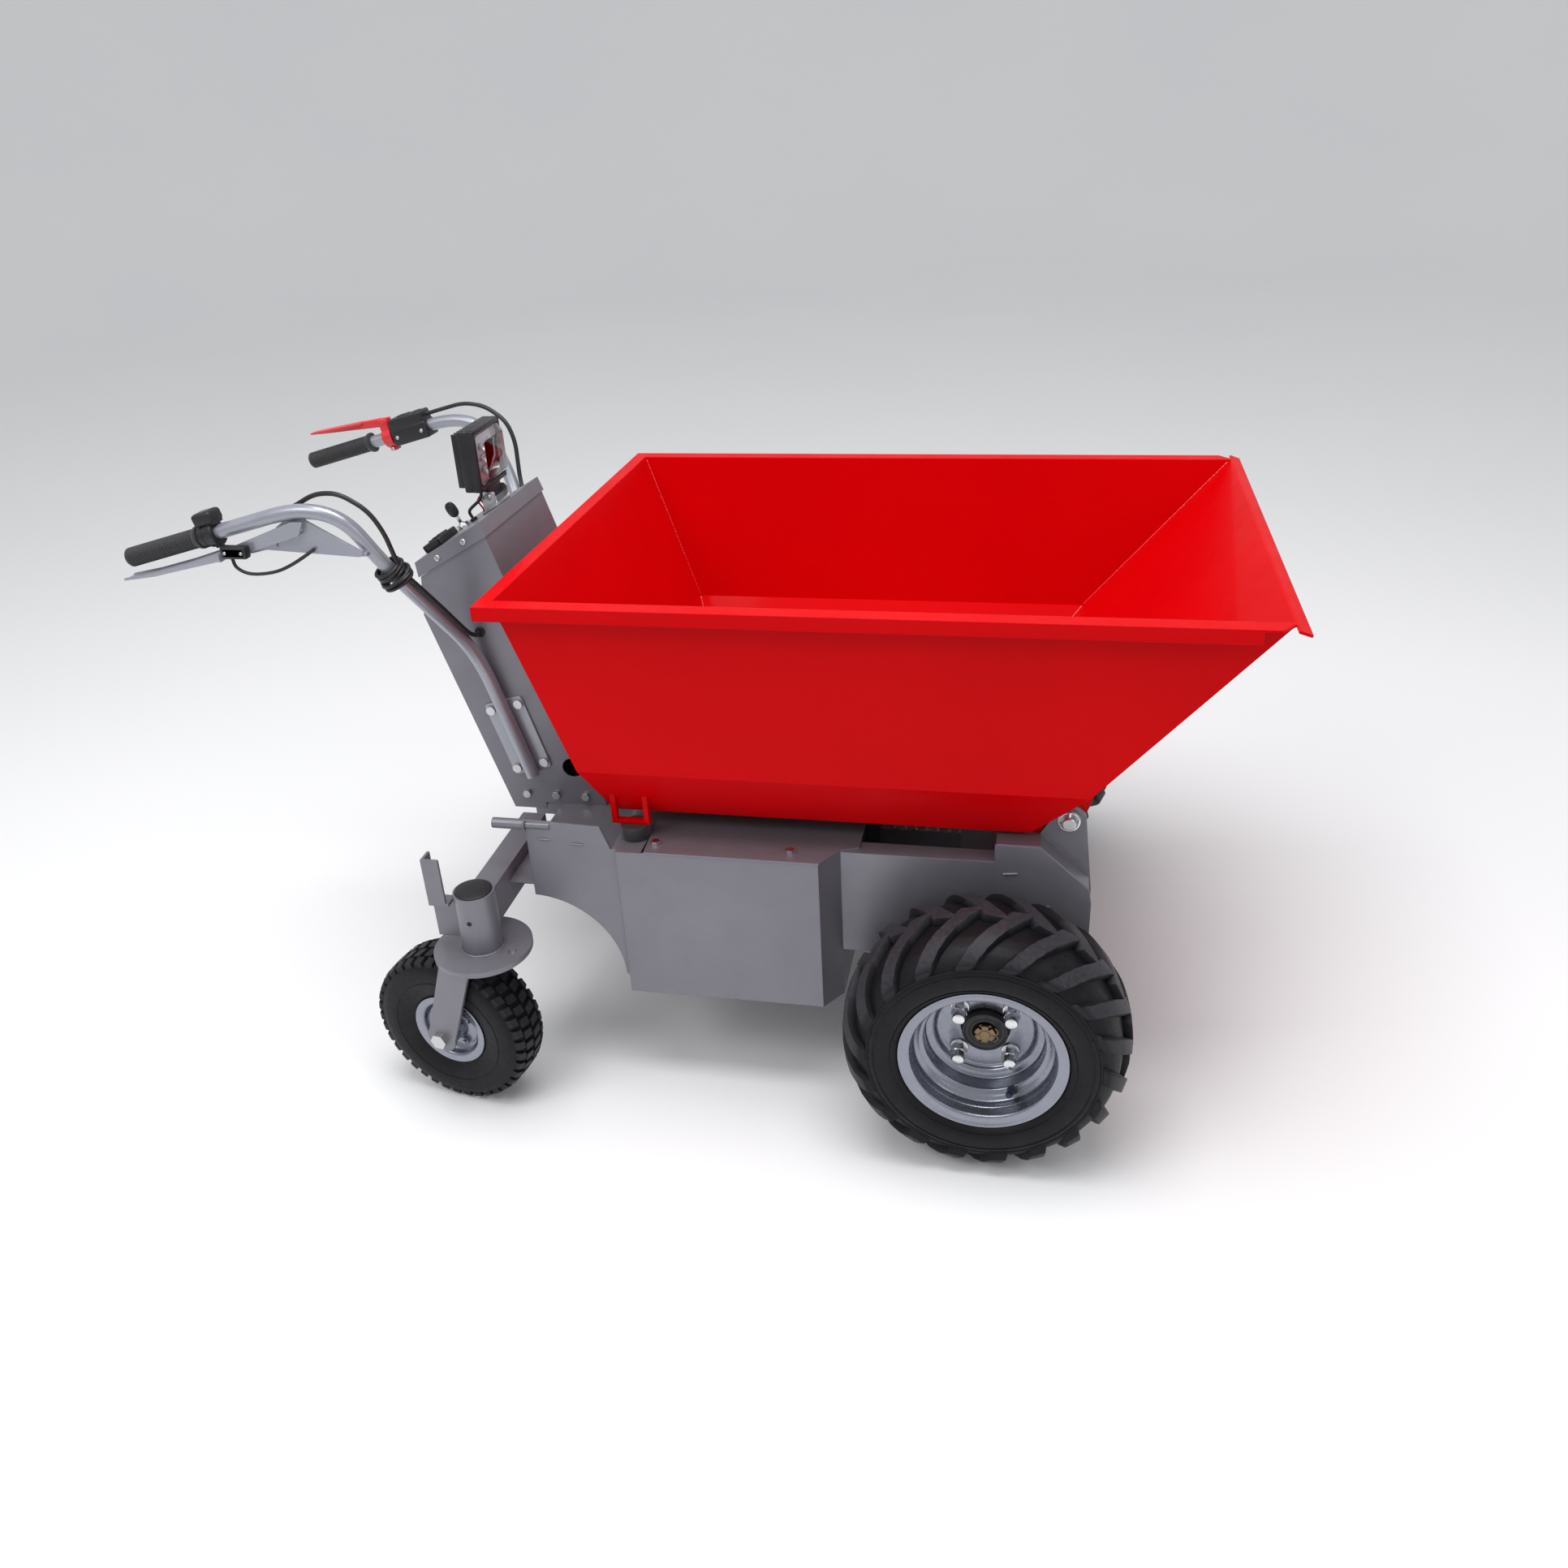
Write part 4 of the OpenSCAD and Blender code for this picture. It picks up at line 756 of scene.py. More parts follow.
def turned(b, profile, fn, axis="x", seg=48):
    """Closed profile of (radius, along) in mm turned about the local X, Y or Z axis."""
    t = Build()
    t.revolve(profile, seg)
    order = {"x": lambda p: (p[2], p[0], p[1]), "y": lambda p: (p[0], p[2], p[1]), "z": lambda p: tuple(p)}[axis]
    b.put([fn(order(p)) for p in t.v], t.f)


def sheet_plate(b, outline, y, t, fn, r=6.0, n=3):
    """A flat plate with rounded corners in the local XZ plane, from y to y + t."""
    pts = rounded([Vector((x, 0, z)) for x, z in outline], r, n)
    inset = 0.5
    c = sum(pts, Vector()) / len(pts)
    rings = []
    for yy, k in ((y, inset), (y + inset, 0), (y + t - inset, 0), (y + t, inset)):
        rings.append([fn((p + (c - p).normalized() * k) + Vector((0, yy, 0))) for p in pts])
    b.loft(rings)


def plain(p):
    return rel(*p)


HANDLE = [(-756, 134.5, 407), (-820, 134.5, 628), (-880, 236, 792), (-940, 267, 910.03), (-1276, 267, 820)]


HANDLE_CUTS = [0, 0.060, 0.040, 0.097, 0]


def handle_path(side):
    return rounded([rel(x, SIDES[side] * y, z) for x, y, z in HANDLE], HANDLE_CUTS, 14, closed=False)


def handle(side):
    s = SIDES[side]
    b = Build()
    path = handle_path(side)
    b.tube(path, [0.0108] + [0.011] * (len(path) - 2) + [0.0108], 28)
    a = math.radians(16)

    def on_bracket(p):
        x, z = p[0] * math.cos(a) - p[2] * math.sin(a), p[0] * math.sin(a) + p[2] * math.cos(a)
        return rel(-777 + x, s * p[1], 474 + z)
    sheet_plate(b, [(-34, -66), (34, -66), (34, 66), (-34, 66)], 121, 3, on_bracket, 7)
    if side == "right":
        sheet_plate(b, [(-1060, 836), (-904, 827), (-900, 834), (-992, 887), (-1004, 887), (-1056, 850)], -269, 4,
                    plain, 5)
        rbox(b, -906, -897, -266, -249, 827, 833, 1.0, plain)
        sheet_plate(b, [(-1112, 822), (-1112, 838), (-1000, 880), (-980, 880), (-990, 860)], -278, 3, plain, 3)
        rbox(b, -1000, -984, -276, -267, 866, 880, 1.5, plain)
    piece(f"handlebar_{side}", b, "tube", "chassis", 38, replaces=(f"handle_{side}",))
    for k, x in enumerate((-10.3, 10.3)):
        ends = [on_bracket((x - 1.5, 124.3, z)) for z in (-62, -30, 0, 36)]
        bead(f"handle_weld_{side}_{k}", ends, 0.0021, "chassis", seed=11 + k)


def grip(side):
    b = Build()
    f = handle_map(side)
    prof = [(11.15, -3.6), (13.2, -3.9), (14.4, -2.4)]
    for i in range(24):
        x = 4 + i * 4.9
        prof += [(14.4, x - 1.4), (13.4, x - 0.8), (13.4, x + 0.8), (14.4, x + 1.4)]
    prof += [(14.4, 120.5), (16.8, 123.5), (17.4, 126.5), (17.2, 129.2), (15.5, 129.9), (11.15, 129.9)]
    turned(b, prof, f, "x", 40)
    turned(b, [(0.4, -3.2), (13.0, -3.9), (13.4, -2.2), (13.4, -0.6), (0.4, -0.6)], f, "x", 40)
    piece(f"ribbed_grip_{side}", b, "rubber", "chassis", 30,
          replaces=(f"grip_{side}",))


def right_controls():
    f = handle_map("right", 142)
    b = Build()
    turned(b, [(11.1, 0), (17.6, 0), (19, 1.6), (19, 14.4), (17.6, 16), (11.1, 16)], f, "x", 48)
    rbox(b, -7.5, 25.5, -15.5, 15.5, 15.3, 33.5, 5, f, 4)
    rbox(b, 8, 25, -12, 12, 12.5, 20, 3, f)
    rbox(b, 2, 14, -4, 4, -21.5, -16, 1.8, f)
    piece("throttle_body", b, "plastic", "chassis", 35, replaces=("throttle_housing",))
    b = Build()
    rbox(b, -3, 21, -11, 11, 33.0, 33.9, 0.4, f)
    piece("throttle_inset", b, "rubber", "chassis", 35)
    f = handle_map("right", 131)
    b = Build()
    turned(b, [(11.25, 0.1), (15.8, 0.1), (17, 1.2), (17, 9.2), (15.8, 10.3), (11.25, 10.3)], f, "x", 48)
    a = math.radians(20)

    def tilt(p):
        return f((p[0], p[1] * math.cos(a) - p[2] * math.sin(a), p[1] * math.sin(a) + p[2] * math.cos(a)))
    rbox(b, 0.6, 9.9, 12.3, 24, -3.8, 3.8, 1.5, tilt)
    rings = []
    for y, w0, w1, h in ((20.2, 0.8, 9.6, 3.0), (22, -8, 9.8, 3.9), (26, -18, 9.9, 4.0), (31, -21.6, 9.4, 3.6),
                         (36, -21.6, 7.5, 3.1), (39, -18, 4, 2.6), (39.9, -13, 0, 1.6)):
        c, hw = (w0 + w1) / 2, (w1 - w0) / 2
        rings.append([tilt((c + hw * power(math.cos(t), 0.5), y, h * power(math.sin(t), 0.6)))
                      for t in [2 * PI * i / 24 for i in range(24)]])
    b.loft(rings)
    for i in range(6):
        rbox(b, -17 + i * 4, -15.4 + i * 4, 25, 36, 3.0, 4.0, 0.4, tilt)
    piece("thumb_paddle", b, "plastic", "thumb", 35, replaces=("throttle_thumb",))
    b = Build()
    rbox(b, -1112, -1072, -292, -278.1, 828, 846, 2.2, plain)
    rbox(b, -1108, -1076, -292.0, -290.5, 831, 843, 0.6, plain)
    piece("microswitch_body", b, "plastic", "chassis", 35, replaces=("stop_switch",))
    for i, x in enumerate((-1105, -1079)):
        screw(f"microswitch_screw_{i}", rel(x, -292, 837), (0, -1, 0), 2.6, "chassis")


def screw(name, at, axis, r, body, head=1.6):
    """A small pan-head screw with a cross recess."""
    ax = Vector(axis).normalized()
    u = ax.orthogonal().normalized()
    w = ax.cross(u)
    rings = []
    seg = 32
    for h, k, cut in ((-0.2, 1.0, 0), (0.5, 1.0, 0), (1.1, 0.86, 0), (1.5, 0.55, 1), (0.9, 0.5, 2), (0.7, 0.12, 2)):
        ring = []
        for i in range(seg):
            t = 2 * PI * i / seg
            kk = k
            if cut:
                near = abs((t + PI / 4) % (PI / 2) - PI / 4)
                kk = k * (1.0 if near < 0.28 else 0.38)
            ring.append(Vector(at) + (ax * h * head / 1.6 + (u * math.cos(t) + w * math.sin(t)) * r * kk) / 1000)
        rings.append(ring)
    b = Build()
    b.loft(rings)
    return piece(name, b, "zinc", body, 35)


def left_controls():
    f = handle_map("left", 179)
    b = Build()
    rbox(b, 0.3, 71.7, -19.5, 19.5, -17.5, 12, 3.2, f)
    rbox(b, 2, 70, -19.2, 19.2, 9, 29.5, 4.0, f, 4)
    rbox(b, 18, 40, -8, 8, 28, 31.4, 1.5, f)
    rbox(b, 48, 62, -8, 8, 28, 31.0, 1.5, f)
    for x in (24, 30, 36):
        rbox(b, x, x + 2.2, -20.3, -19.0, -6, 8, 0.5, f)
    piece("switch_body", b, "plastic", "chassis", 35, replaces=("switch_block",))
    for i, x in enumerate((10, 60)):
        screw(f"switch_screw_{i}", f((x, 19.4, -3)), (0, -1, 0), 3.4, "chassis")
    f = handle_map("left", 158)
    b = Build()
    turned(b, [(11.1, 0), (17.2, 0), (18, 0.8), (18, 17.2), (17.2, 18), (11.1, 18)], f, "x", 48)
    for s in (-1, 1):
        y0, y1 = sorted((s * 6.4, s * 11))
        rbox(b, 0.2, 17.8, y0, y1, 10, 33.6, 2.2, f)
    rbox(b, 2, 16, -8, 8, -24, -15, 2, f)
    piece("brake_clamp", b, "lever_red", "chassis", 35, replaces=("brake_lever_mount",))
    screw("clamp_screw", f((9, 11, -20)), f((9, 30, -20)) - f((9, 11, -20)), 3.4, "chassis")
    f = handle_map("left", 167)
    b = Build()
    for outline in (((4.6, 26, 5.4, 4.2), (2, 28.2, 5.9, 6.4), (-6, 28.8, 5.9, 7.3), (-14, 29.4, 5.9, 7.4),
                     (-28, 31.2, 5.9, 7.0), (-44, 33.2, 5.9, 6.6), (-60, 35.2, 5.9, 6.0), (-90, 38.6, 5.9, 4.8),
                     (-125, 42.6, 5.9, 3.2), (-145, 45.2, 5.4, 1.8)),
                    ((-40.5, 36.6, 7.5, 2.6), (-46, 37.0, 10.2, 3.1), (-80, 39.8, 11, 2.9), (-115, 42.8, 11, 2.5),
                     (-138, 44.8, 10.6, 2.2), (-146, 45.4, 8.6, 1.8), (-149.3, 45.7, 5, 1.0))):
        rings = []
        for x, z, hw, t in outline:
            ring = []
            for i in range(28):
                a = 2 * PI * i / 28
                ring.append(f((x, hw * power(math.cos(a), 0.4), z + t * power(math.sin(a), 0.45))))
            rings.append(ring)
        b.loft(rings)
    turned(b, [(0.3, -11.3), (2.6, -11.4), (2.95, -10.9), (2.95, 10.9), (2.6, 11.4), (0.3, 11.3)],
           lambda p: f((p[0], p[1], p[2] + 27)), "y", 24)
    piece("brake_blade", b, "lever_red", "brake", 35, replaces=("brake_lever",))


def stop_lever():
    """A folded sheet lever: a trough under the grip on two ears."""
    b = Build()
    ears = [(-1128, 818.5), (-1128, 831.5), (-1044, 856), (-1032, 854), (-1032, 840), (-1042, 838)]
    for y in (-271.8, -264.7):
        sheet_plate(b, ears, y, 2.5, plain, 3)
    turned(b, [(0.3, -271.8), (3.9, -271.8), (3.95, -271.2), (3.95, -262.8), (3.9, -262.3), (0.3, -262.3)],
           lambda p: rel(-1040 + p[0], p[1], 848 + p[2]), "y", 24)
    rings = []
    for x, z_top, h in ((-1292.6, 789.6, 3.4), (-1290, 790.6, 4.2), (-1240, 800.8, 7.0), (-1180, 816.5, 9.0),
                        (-1130, 831.6, 13.0), (-1124.5, 831.6, 13.4)):
        prof = [(-13, z_top - h * 0.55), (-13, z_top - 1), (-12, z_top), (-10.8, z_top - 0.2), (-10.2, z_top - 1.8),
                (10.2, z_top - 1.8), (10.8, z_top - 0.2), (12, z_top), (13, z_top - 1), (13, z_top - h * 0.55),
                (11.5, z_top - h), (-11.5, z_top - h)]
        rings.append([rel(x, -267 + y, z) for y, z in prof])
    b.loft(rings)
    piece("stop_lever_sheet", b, "tube", "stop", 30, replaces=("stop_lever",))


# ---- Leads ----

DROP = [(-887, 894, 259), (-872, 860, 252), (-866, 796, 236), (-853, 765, 216), (-835, 716, 185), (-817, 666, 155),
        (-814, 655, 137), (-814, 655, 125.4)]
LEAD_BEND = 0.018


def lead(name, points, d, replaces, sleeve=None):
    """A lead of diameter d mm; sleeve is where it starts and ends along the lead, and its diameter."""
    path = rounded([rel(*p) for p in points], LEAD_BEND, 8, closed=False)
    b = Build()
    b.tube(path, d / 2000, 14)
    if sleeve:
        i0, i1, ds = sleeve
        lo, hi = int(i0 * (len(path) - 1)), int(i1 * (len(path) - 1))
        sub = path[lo:hi + 1]
        end = d / 2000 + 0.0002
        b.tube(sub, [end] + [ds / 2000] * (len(sub) - 2) + [end], 16)
    piece(name, b, "cable", "chassis", 40, replaces=(replaces,))


def leads():
    drop_r = [(x, -y, z) for x, z, y in DROP]
    drop_l = [(x, y, z) for x, z, y in DROP]
    lead("throttle_lead", [(-1122.8, -251.5, 861), (-1060, -251.5, 878), (-1010, -251.5, 892), (-966, -254, 915),
                           (-926, -260, 918)] + drop_r, 7, "throttle_cable")
    lead("switch_lead", [(-1038.5, 267, 904.4), (-1010, 267, 912), (-966, 268, 923), (-926, 266, 918)] + drop_l, 7,
         "switch_cable", sleeve=(0.22, 0.62, 7.6))
    lead("microswitch_lead", [(-1100, -284, 827.5), (-1097, -286, 814), (-1080, -287, 805), (-1057, -286, 804.4),
                              (-1030, -285, 809), (-1007, -283, 819), (-986, -277, 831), (-974, -271.6, 839)], 5,
         "stop_switch_cable")
    lead("lamp_lead", [(-820, -27, 849), (-822, -27, 840), (-838, -22, 828), (-854, -12, 815.2),
                       (-848.3, -12, 804.6)], 5, "lamp_cable")


def tube_axis(side, z):
    """Where the handle's middle line crosses a height in mm, and its direction there."""
    path = handle_path(side)
    for a, c in zip(path, path[1:]):
        if a.z <= z / 1000 <= c.z:
            t = (z / 1000 - a.z) / (c.z - a.z)
            return a + (c - a) * t, (c - a).normalized()
    return path[0], (path[1] - path[0]).normalized()


def hank():
    """Turns of thin spare lead wound round the right tube, and a tie round the left tube."""
    c, d = tube_axis("right", 790)
    u = d.orthogonal().normalized()
    w = d.cross(u)
    b = Build()
    rnd = random.Random(5)
    for k in range(6):
        off = -0.0125 + k * 0.0050
        lean, ph = rnd.uniform(-0.22, 0.22), rnd.uniform(0, 6)
        R = 0.0198 + rnd.uniform(-0.0012, 0.0030)
        ring = []
        for i in range(37):
            t = 2 * PI * i / 36
            rr = R + 0.0012 * math.sin(3 * t + ph)
            ring.append(c + d * (off + math.sin(t + ph) * R * lean * 0.6) + (u * math.cos(t) + w * math.sin(t)) * rr)
        b.tube(ring, 0.0028, 10, caps=False)
    piece("lead_hank", b, "cable", "chassis", 40, replaces=("cable_wrap",))
    c, d = tube_axis("left", 850)
    u = d.orthogonal().normalized()
    w = d.cross(u)
    ring = [c + (u * math.cos(2 * PI * i / 40) + w * math.sin(2 * PI * i / 40)) * 0.0118 for i in range(41)]
    b = Build()
    for off in (-0.0012, 0.0, 0.0012):
        b.tube([p + d * off for p in ring], 0.0010, 6, caps=False)
    rbox(b, -3, 3, 11.5, 15.5, -3, 3, 0.8, lambda p: c + (u * p[0] + w * p[1] + d * p[2]) / 1000)
    piece("tie_left", b, "plastic", "chassis", 40)


# ---- Console: key, rocker, cap, screws ----

def console():
    f = console_map(42, -10)
    b = Build()
    turned(b, [(6.05, 2.2), (6.05, 7), (9.5, 7.0), (11.2, 6.2), (13, 2.4), (13, 0.1), (4.0, 0.1), (4.0, 2.2)],
           f, "z", 48)
    for i in range(24):
        t = 2 * PI * i / 24
        rbox(b, 12.2, 13.2, -0.5, 0.5, 0.6, 2.6, 0.2,
             lambda p, t=t: f((p[0] * math.cos(t) - p[1] * math.sin(t),
                               p[0] * math.sin(t) + p[1] * math.cos(t), p[2])))
    piece("switch_bezel", b, "chrome", "chassis", 35, replaces=("key_switch",))
    b = Build()
    turned(b, [(0.3, 2.4), (5.9, 2.4), (5.9, 7.2), (5.2, 8.2), (0.3, 8.2)], f, "z", 40)
    rbox(b, -3.4, 3.4, -1, 1, 8, 22, 0.5, f)
    piece("key_blade", b, "chrome", "key", 35)
    b = Build()
    rings = []
    for y, k in ((-3.0, 0.84), (-2.4, 0.95), (-1.0, 1.0), (1.0, 1.0), (2.4, 0.95), (3.0, 0.84)):
        ring = []
        for i in range(40):
            t = 2 * PI * i / 40
            x = 9.0 * power(math.cos(t), 0.8) * k
            z = 33 + 12.8 * power(math.sin(t), 0.8) * k
            ring.append(f((x, y, z)))
        rings.append(ring)
    b.loft(rings)
    turned(b, [(4.1, -3.35), (5.3, -3.35), (5.3, 3.35), (4.1, 3.35)], lambda p: f((p[0], p[1], p[2] + 36)), "y", 32)
    piece("key_head", b, "plastic", "key", 35, replaces=("ignition_key",))
    f = console_map(28, -68)
    b = Build()
    for x0, x1, y0, y1 in ((-18, -10.6, -30, 30), (10.6, 18, -30, 30), (-17, 17, -30, -20.2), (-17, 17, 20.2, 30)):
        rbox(b, x0, x1, y0, y1, 0.1, 12, 2.5, f)
    rbox(b, -16, 16, -28, 28, 0.1, 5, 0.6, f)
    piece("rocker_frame", b, "plastic", "chassis", 35, replaces=("rocker_housing",))
    b = Build()
    rings = []
    for x, k in ((-10, 0.94), (-9.4, 1.0), (9.4, 1.0), (10, 0.94)):
        prof = [(-18 * k, 11.3), (-17.6 * k, 14.0), (-9 * k, 12.8), (0, 12.2), (9 * k, 13.2), (17.6 * k, 14.4),
                (18 * k, 11.3), (8 * k, 8.4), (0, 6.8), (-8 * k, 8.4)]
        rings.append([f((x, y, z)) for y, z in prof])
    b.loft(rings)
    rbox(b, -4, 4, -13.2, -11.8, 13.0, 13.9, 0.3, f)
    turned(b, [(0.3, -10.6), (3.4, -10.6), (3.4, 10.6), (0.3, 10.6)], lambda p: f((p[0], p[1], p[2] + 11)), "x", 20)
    piece("rocker_cap", b, "plastic", "rocker_button", 35, replaces=("rocker",))
    for s in (-1, 1):
        for k, u in enumerate((38, 92)):
            at = console_map(u, 0)((0, s * 123.3, -12))
            screw(f"cap_screw_{'l' if s > 0 else 'r'}{k}", at, (0, s, 0), 5.0, "chassis", 2.3)
    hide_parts("console_screws")


# ---- Lamp ----

def lamp():
    def f(p):
        return rel(-816 + p[0], 15 + p[1], 838 + p[2])
    b = Build()
    rbox(b, -26, -7, -52, 52, 14, 110, 3.0, f)
    for y0, y1 in ((-52, -45.2), (45.2, 52)):
        rbox(b, -10, 2, y0, y1, 14, 110, 1.6, f)
    for z0, z1 in ((14, 21), (103, 110)):
        rbox(b, -10, 2, -51, 51, z0, z1, 1.6, f)
    for i in range(9):
        rbox(b, -38, -24, -46 + i * 11, -42.5 + i * 11, 20, 104, 1.2, f, 2)
    rbox(b, -9, 2, -23.2, 23.2, -5.8, 16, 2.5, f)
    piece("lamp_case", b, "plastic", "lamp", 35, replaces=("lamp_housing",))
    b = Build()
    for i in range(3):
        for j in range(4):
            cy, cz = -22.5 + j * 15, 44 + i * 18
            turned(b, [(2.3, -5.6), (3.0, -5.5), (5.2, -3.6), (6.7, -0.8), (7.1, 0.6), (6.9, 1.0), (6.4, -0.4),
                       (4.9, -3.0), (2.9, -4.9), (2.3, -5.0)],
                   lambda p, cy=cy, cz=cz: f((p[0] + 0.8, p[1] + cy, p[2] + cz)), "x", 28)
    rbox(b, -6.2, -5.2, -44, 44, 22, 102, 0.3, f)
    piece("reflectors", b, "mirror", "lamp", 35)
    b = Build()
    for i in range(3):
        for j in range(4):
            cy, cz = -22.5 + j * 15, 44 + i * 18
            rbox(b, -5.4, -4.2, cy - 1.6, cy + 1.6, cz - 1.6, cz + 1.6, 0.4, f)
    piece("led_chips", b, "led", "lamp", 35)
    b = Build()
    rings = []
    zc = 62
    for x, hy, hz, r in ((-3.4, 44.4, 40.4, 4), (1.6, 44.4, 40.4, 4), (2.2, 43.8, 39.8, 4), (11.4, 37.8, 30.4, 3),
                         (11.9, 37.0, 29.6, 3), (10.2, 35.8, 28.4, 3), (0.8, 42.2, 38.2, 4), (-3.4, 42.4, 38.4, 4)):
        corners = ((-hy, zc - hz), (hy, zc - hz), (hy, zc + hz), (-hy, zc + hz))
        rings.append([f(p) for p in rounded([Vector((x, y, z)) for y, z in corners], r, 5)])
    n = len(rings[0])
    # five outer rings, then three inner ones: no wall between the two faces
    faces = [q for i, q in enumerate(quads(len(rings) - 1, n)) if i // n != 4]
    faces += [tuple(4 * n + k for k in range(n)), tuple(5 * n + k for k in reversed(range(n)))]
    faces += [((len(rings) - 1) * n + k, (len(rings) - 1) * n + (k + 1) % n, (k + 1) % n, k) for k in range(n)]
    b.put(flat(rings), faces)
    piece("lens_cover", b, "clear", "lamp", 30, replaces=("lamp_lens",))
    b = Build()
    for s in (-1, 1):
        y0, y1 = sorted((s * 24.1, s * 27))
        sheet_plate(b, [(-11, -24), (11, -10), (11, 9), (-11, 9)], y0, 2.9, f, 5)
    g = console_map(86, 15)
    rbox(b, -1, 30, -27, 27, 0.2, 3.1, 1.2, g)
    piece("lamp_stirrup", b, "zinc", "chassis", 35, replaces=("lamp_bracket",))
    for s in (-1, 1):
        screw(f"lamp_screw_{'l' if s > 0 else 'r'}", f((0, s * 27, 0)), (0, s, 0), 4.6, "chassis", 2.6)
    for k, (mat, y) in enumerate((("wire_red", -8), ("wire_white", -4), ("wire_red", -12))):
        b = Build()
        pts = smooth_path([f((-9, y, 13)), f((-16, y - 2, 3)), f((-19 - 2 * k, y - 6, -8)),
                           f((-8 - 3 * k, y - 10, -20)), f((-14, y - 12, -30))], 8)
        b.tube(pts, 0.0014, 8)
        wire = piece(f"lamp_wire_{k}", b, mat, None, 40)
        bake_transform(wire)


# ---- Hopper seams, chassis welds, pins, caps and rests ----

def hopper_edges():
    """Inner corner points of the tub, just off the sheet, by level."""
    fs, rs = (350 - 48.5) / 349.5, (675 - 559.5) / 349.5
    t = 3.0

    def at(z, front, s):
        x = (48.5 + (z - 453.5) * fs - t * math.hypot(1, fs)) if front else (-559.5 - (z - 453.5) * rs
                                                                         + t * math.hypot(1, rs))
        if z <= 542:
            y = 299.5 + (z - 453.5) * (52.5 / 88.5) - t * math.hypot(1, 52.5 / 88.5)
        else:
            y = 352 + (z - 542) * (11 / 261) - t
        return rel(x, s * y, z)
    return at


def hopper_detail():
    at = hopper_edges()
    for front in (True, False):
        for side, s in SIDES.items():
            inward = Vector((-0.0012 if front else 0.0012, -s * 0.0012, 0))
            for k, (z0, z1) in enumerate(((457.5, 541), (543, 799))):
                a, c = at(z0, front, s) + inward, at(z1, front, s) + inward
                bead(f"tub_seam_{'f' if front else 'r'}_{side}_{k}", [a, c], 0.0021, "hopper_box", "red_bead",
                     pitch=0.0062, seed=3 + k)
    for side, s in SIDES.items():
        b = Build()
        b.tube([rel(-560, s * 296.8, 457.2), rel(-260, s * 297.0, 457.3), rel(40, s * 296.8, 457.2)], 0.0010, 8)
        piece(f"floor_fold_{side}", b, "red", "hopper_box", 60)
        lug = [(52, 453.6), (101, 514.6), (140, 559.8)]
        for k, y in enumerate((283.9, 274.1)):
            pts = [rel(x + 2.2, s * y, z - 2.2) for x, z in lug]
            bead(f"lug_weld_{side}_{k}", pts, 0.0024, "hopper_box", "red_bead", seed=21 + k)


def circle_path(c, r, n=40):
    return [c + Vector((r * math.cos(math.radians(360.0 * i / n)),
                        r * math.sin(math.radians(360.0 * i / n)), 0)) for i in range(n + 1)]


def chassis_welds():
    for side, s in SIDES.items():
        k = KING[side]
        bead(f"fork_collar_weld_{side}", circle_path(k + Vector((0, 0, 0.2862)), 0.0314), 0.0022, f"caster_{side}",
             seed=31)
        # arm against the kingpin tube
        y0 = s * (433 - 24.6)
        for j, x in enumerate((-19, 19)):
            bead(f"arm_weld_{side}_{j}", [rel(-739 + x, y0, 311), rel(-739 + x, y0, 369)], 0.0026, "chassis",
                 seed=41 + j)
        bead(f"arm_weld_{side}_t", [rel(-739 + 31 * math.sin(t), s * (433 - 31 * math.cos(t)), 370.3)
                                    for t in [math.radians(-38 + 7.6 * i) for i in range(11)]], 0.0024,
             "chassis", seed=43)
        bead(f"lug_tube_weld_{side}", [rel(-769.6, s * 433 + 3.2, 302), rel(-769.6, s * 433 + 3.2, 364)], 0.0020,
             "chassis", seed=44)
        bead(f"cheek_cap_weld_{side}", [rel(5, s * 326, 447.4), rel(62.5, s * 326, 447.4), rel(131, s * 326, 384.6)],
             0.0016, "chassis", seed=45)
        bead(f"cheek_corner_weld_{side}", [rel(3.6, s * 320, 421.2), rel(3.6, s * 320, 445)], 0.0026, "chassis",
             seed=46)
        bead(f"peg_weld_{side}", [rel(-678.3, s * (357 + 8.2 * math.cos(t)), 452 + 8.2 * math.sin(t))
                                  for t in [PI * i / 10 for i in range(21)]], 0.0019, "chassis", seed=47)
        for kind, half, y, crown, rise, spots in (
                ("plug_weld", 9, 360.2, 360.6, -0.5, ((-650, 430), (-600, 425))),
                ("cheek_plug_weld", 10, 328.2, 328.5, 1, ((24, 402), (70, 350)))):
            for j, (x, z) in enumerate(spots):
                b = Build()
                b.tube([rel(x - half, s * y, z - rise), rel(x, s * crown, z), rel(x + half, s * y, z + rise)],
                       [0.0016, 0.0022, 0.0016], 10)
                piece(f"{kind}_{side}_{j}", b, "bead", "chassis", 60)


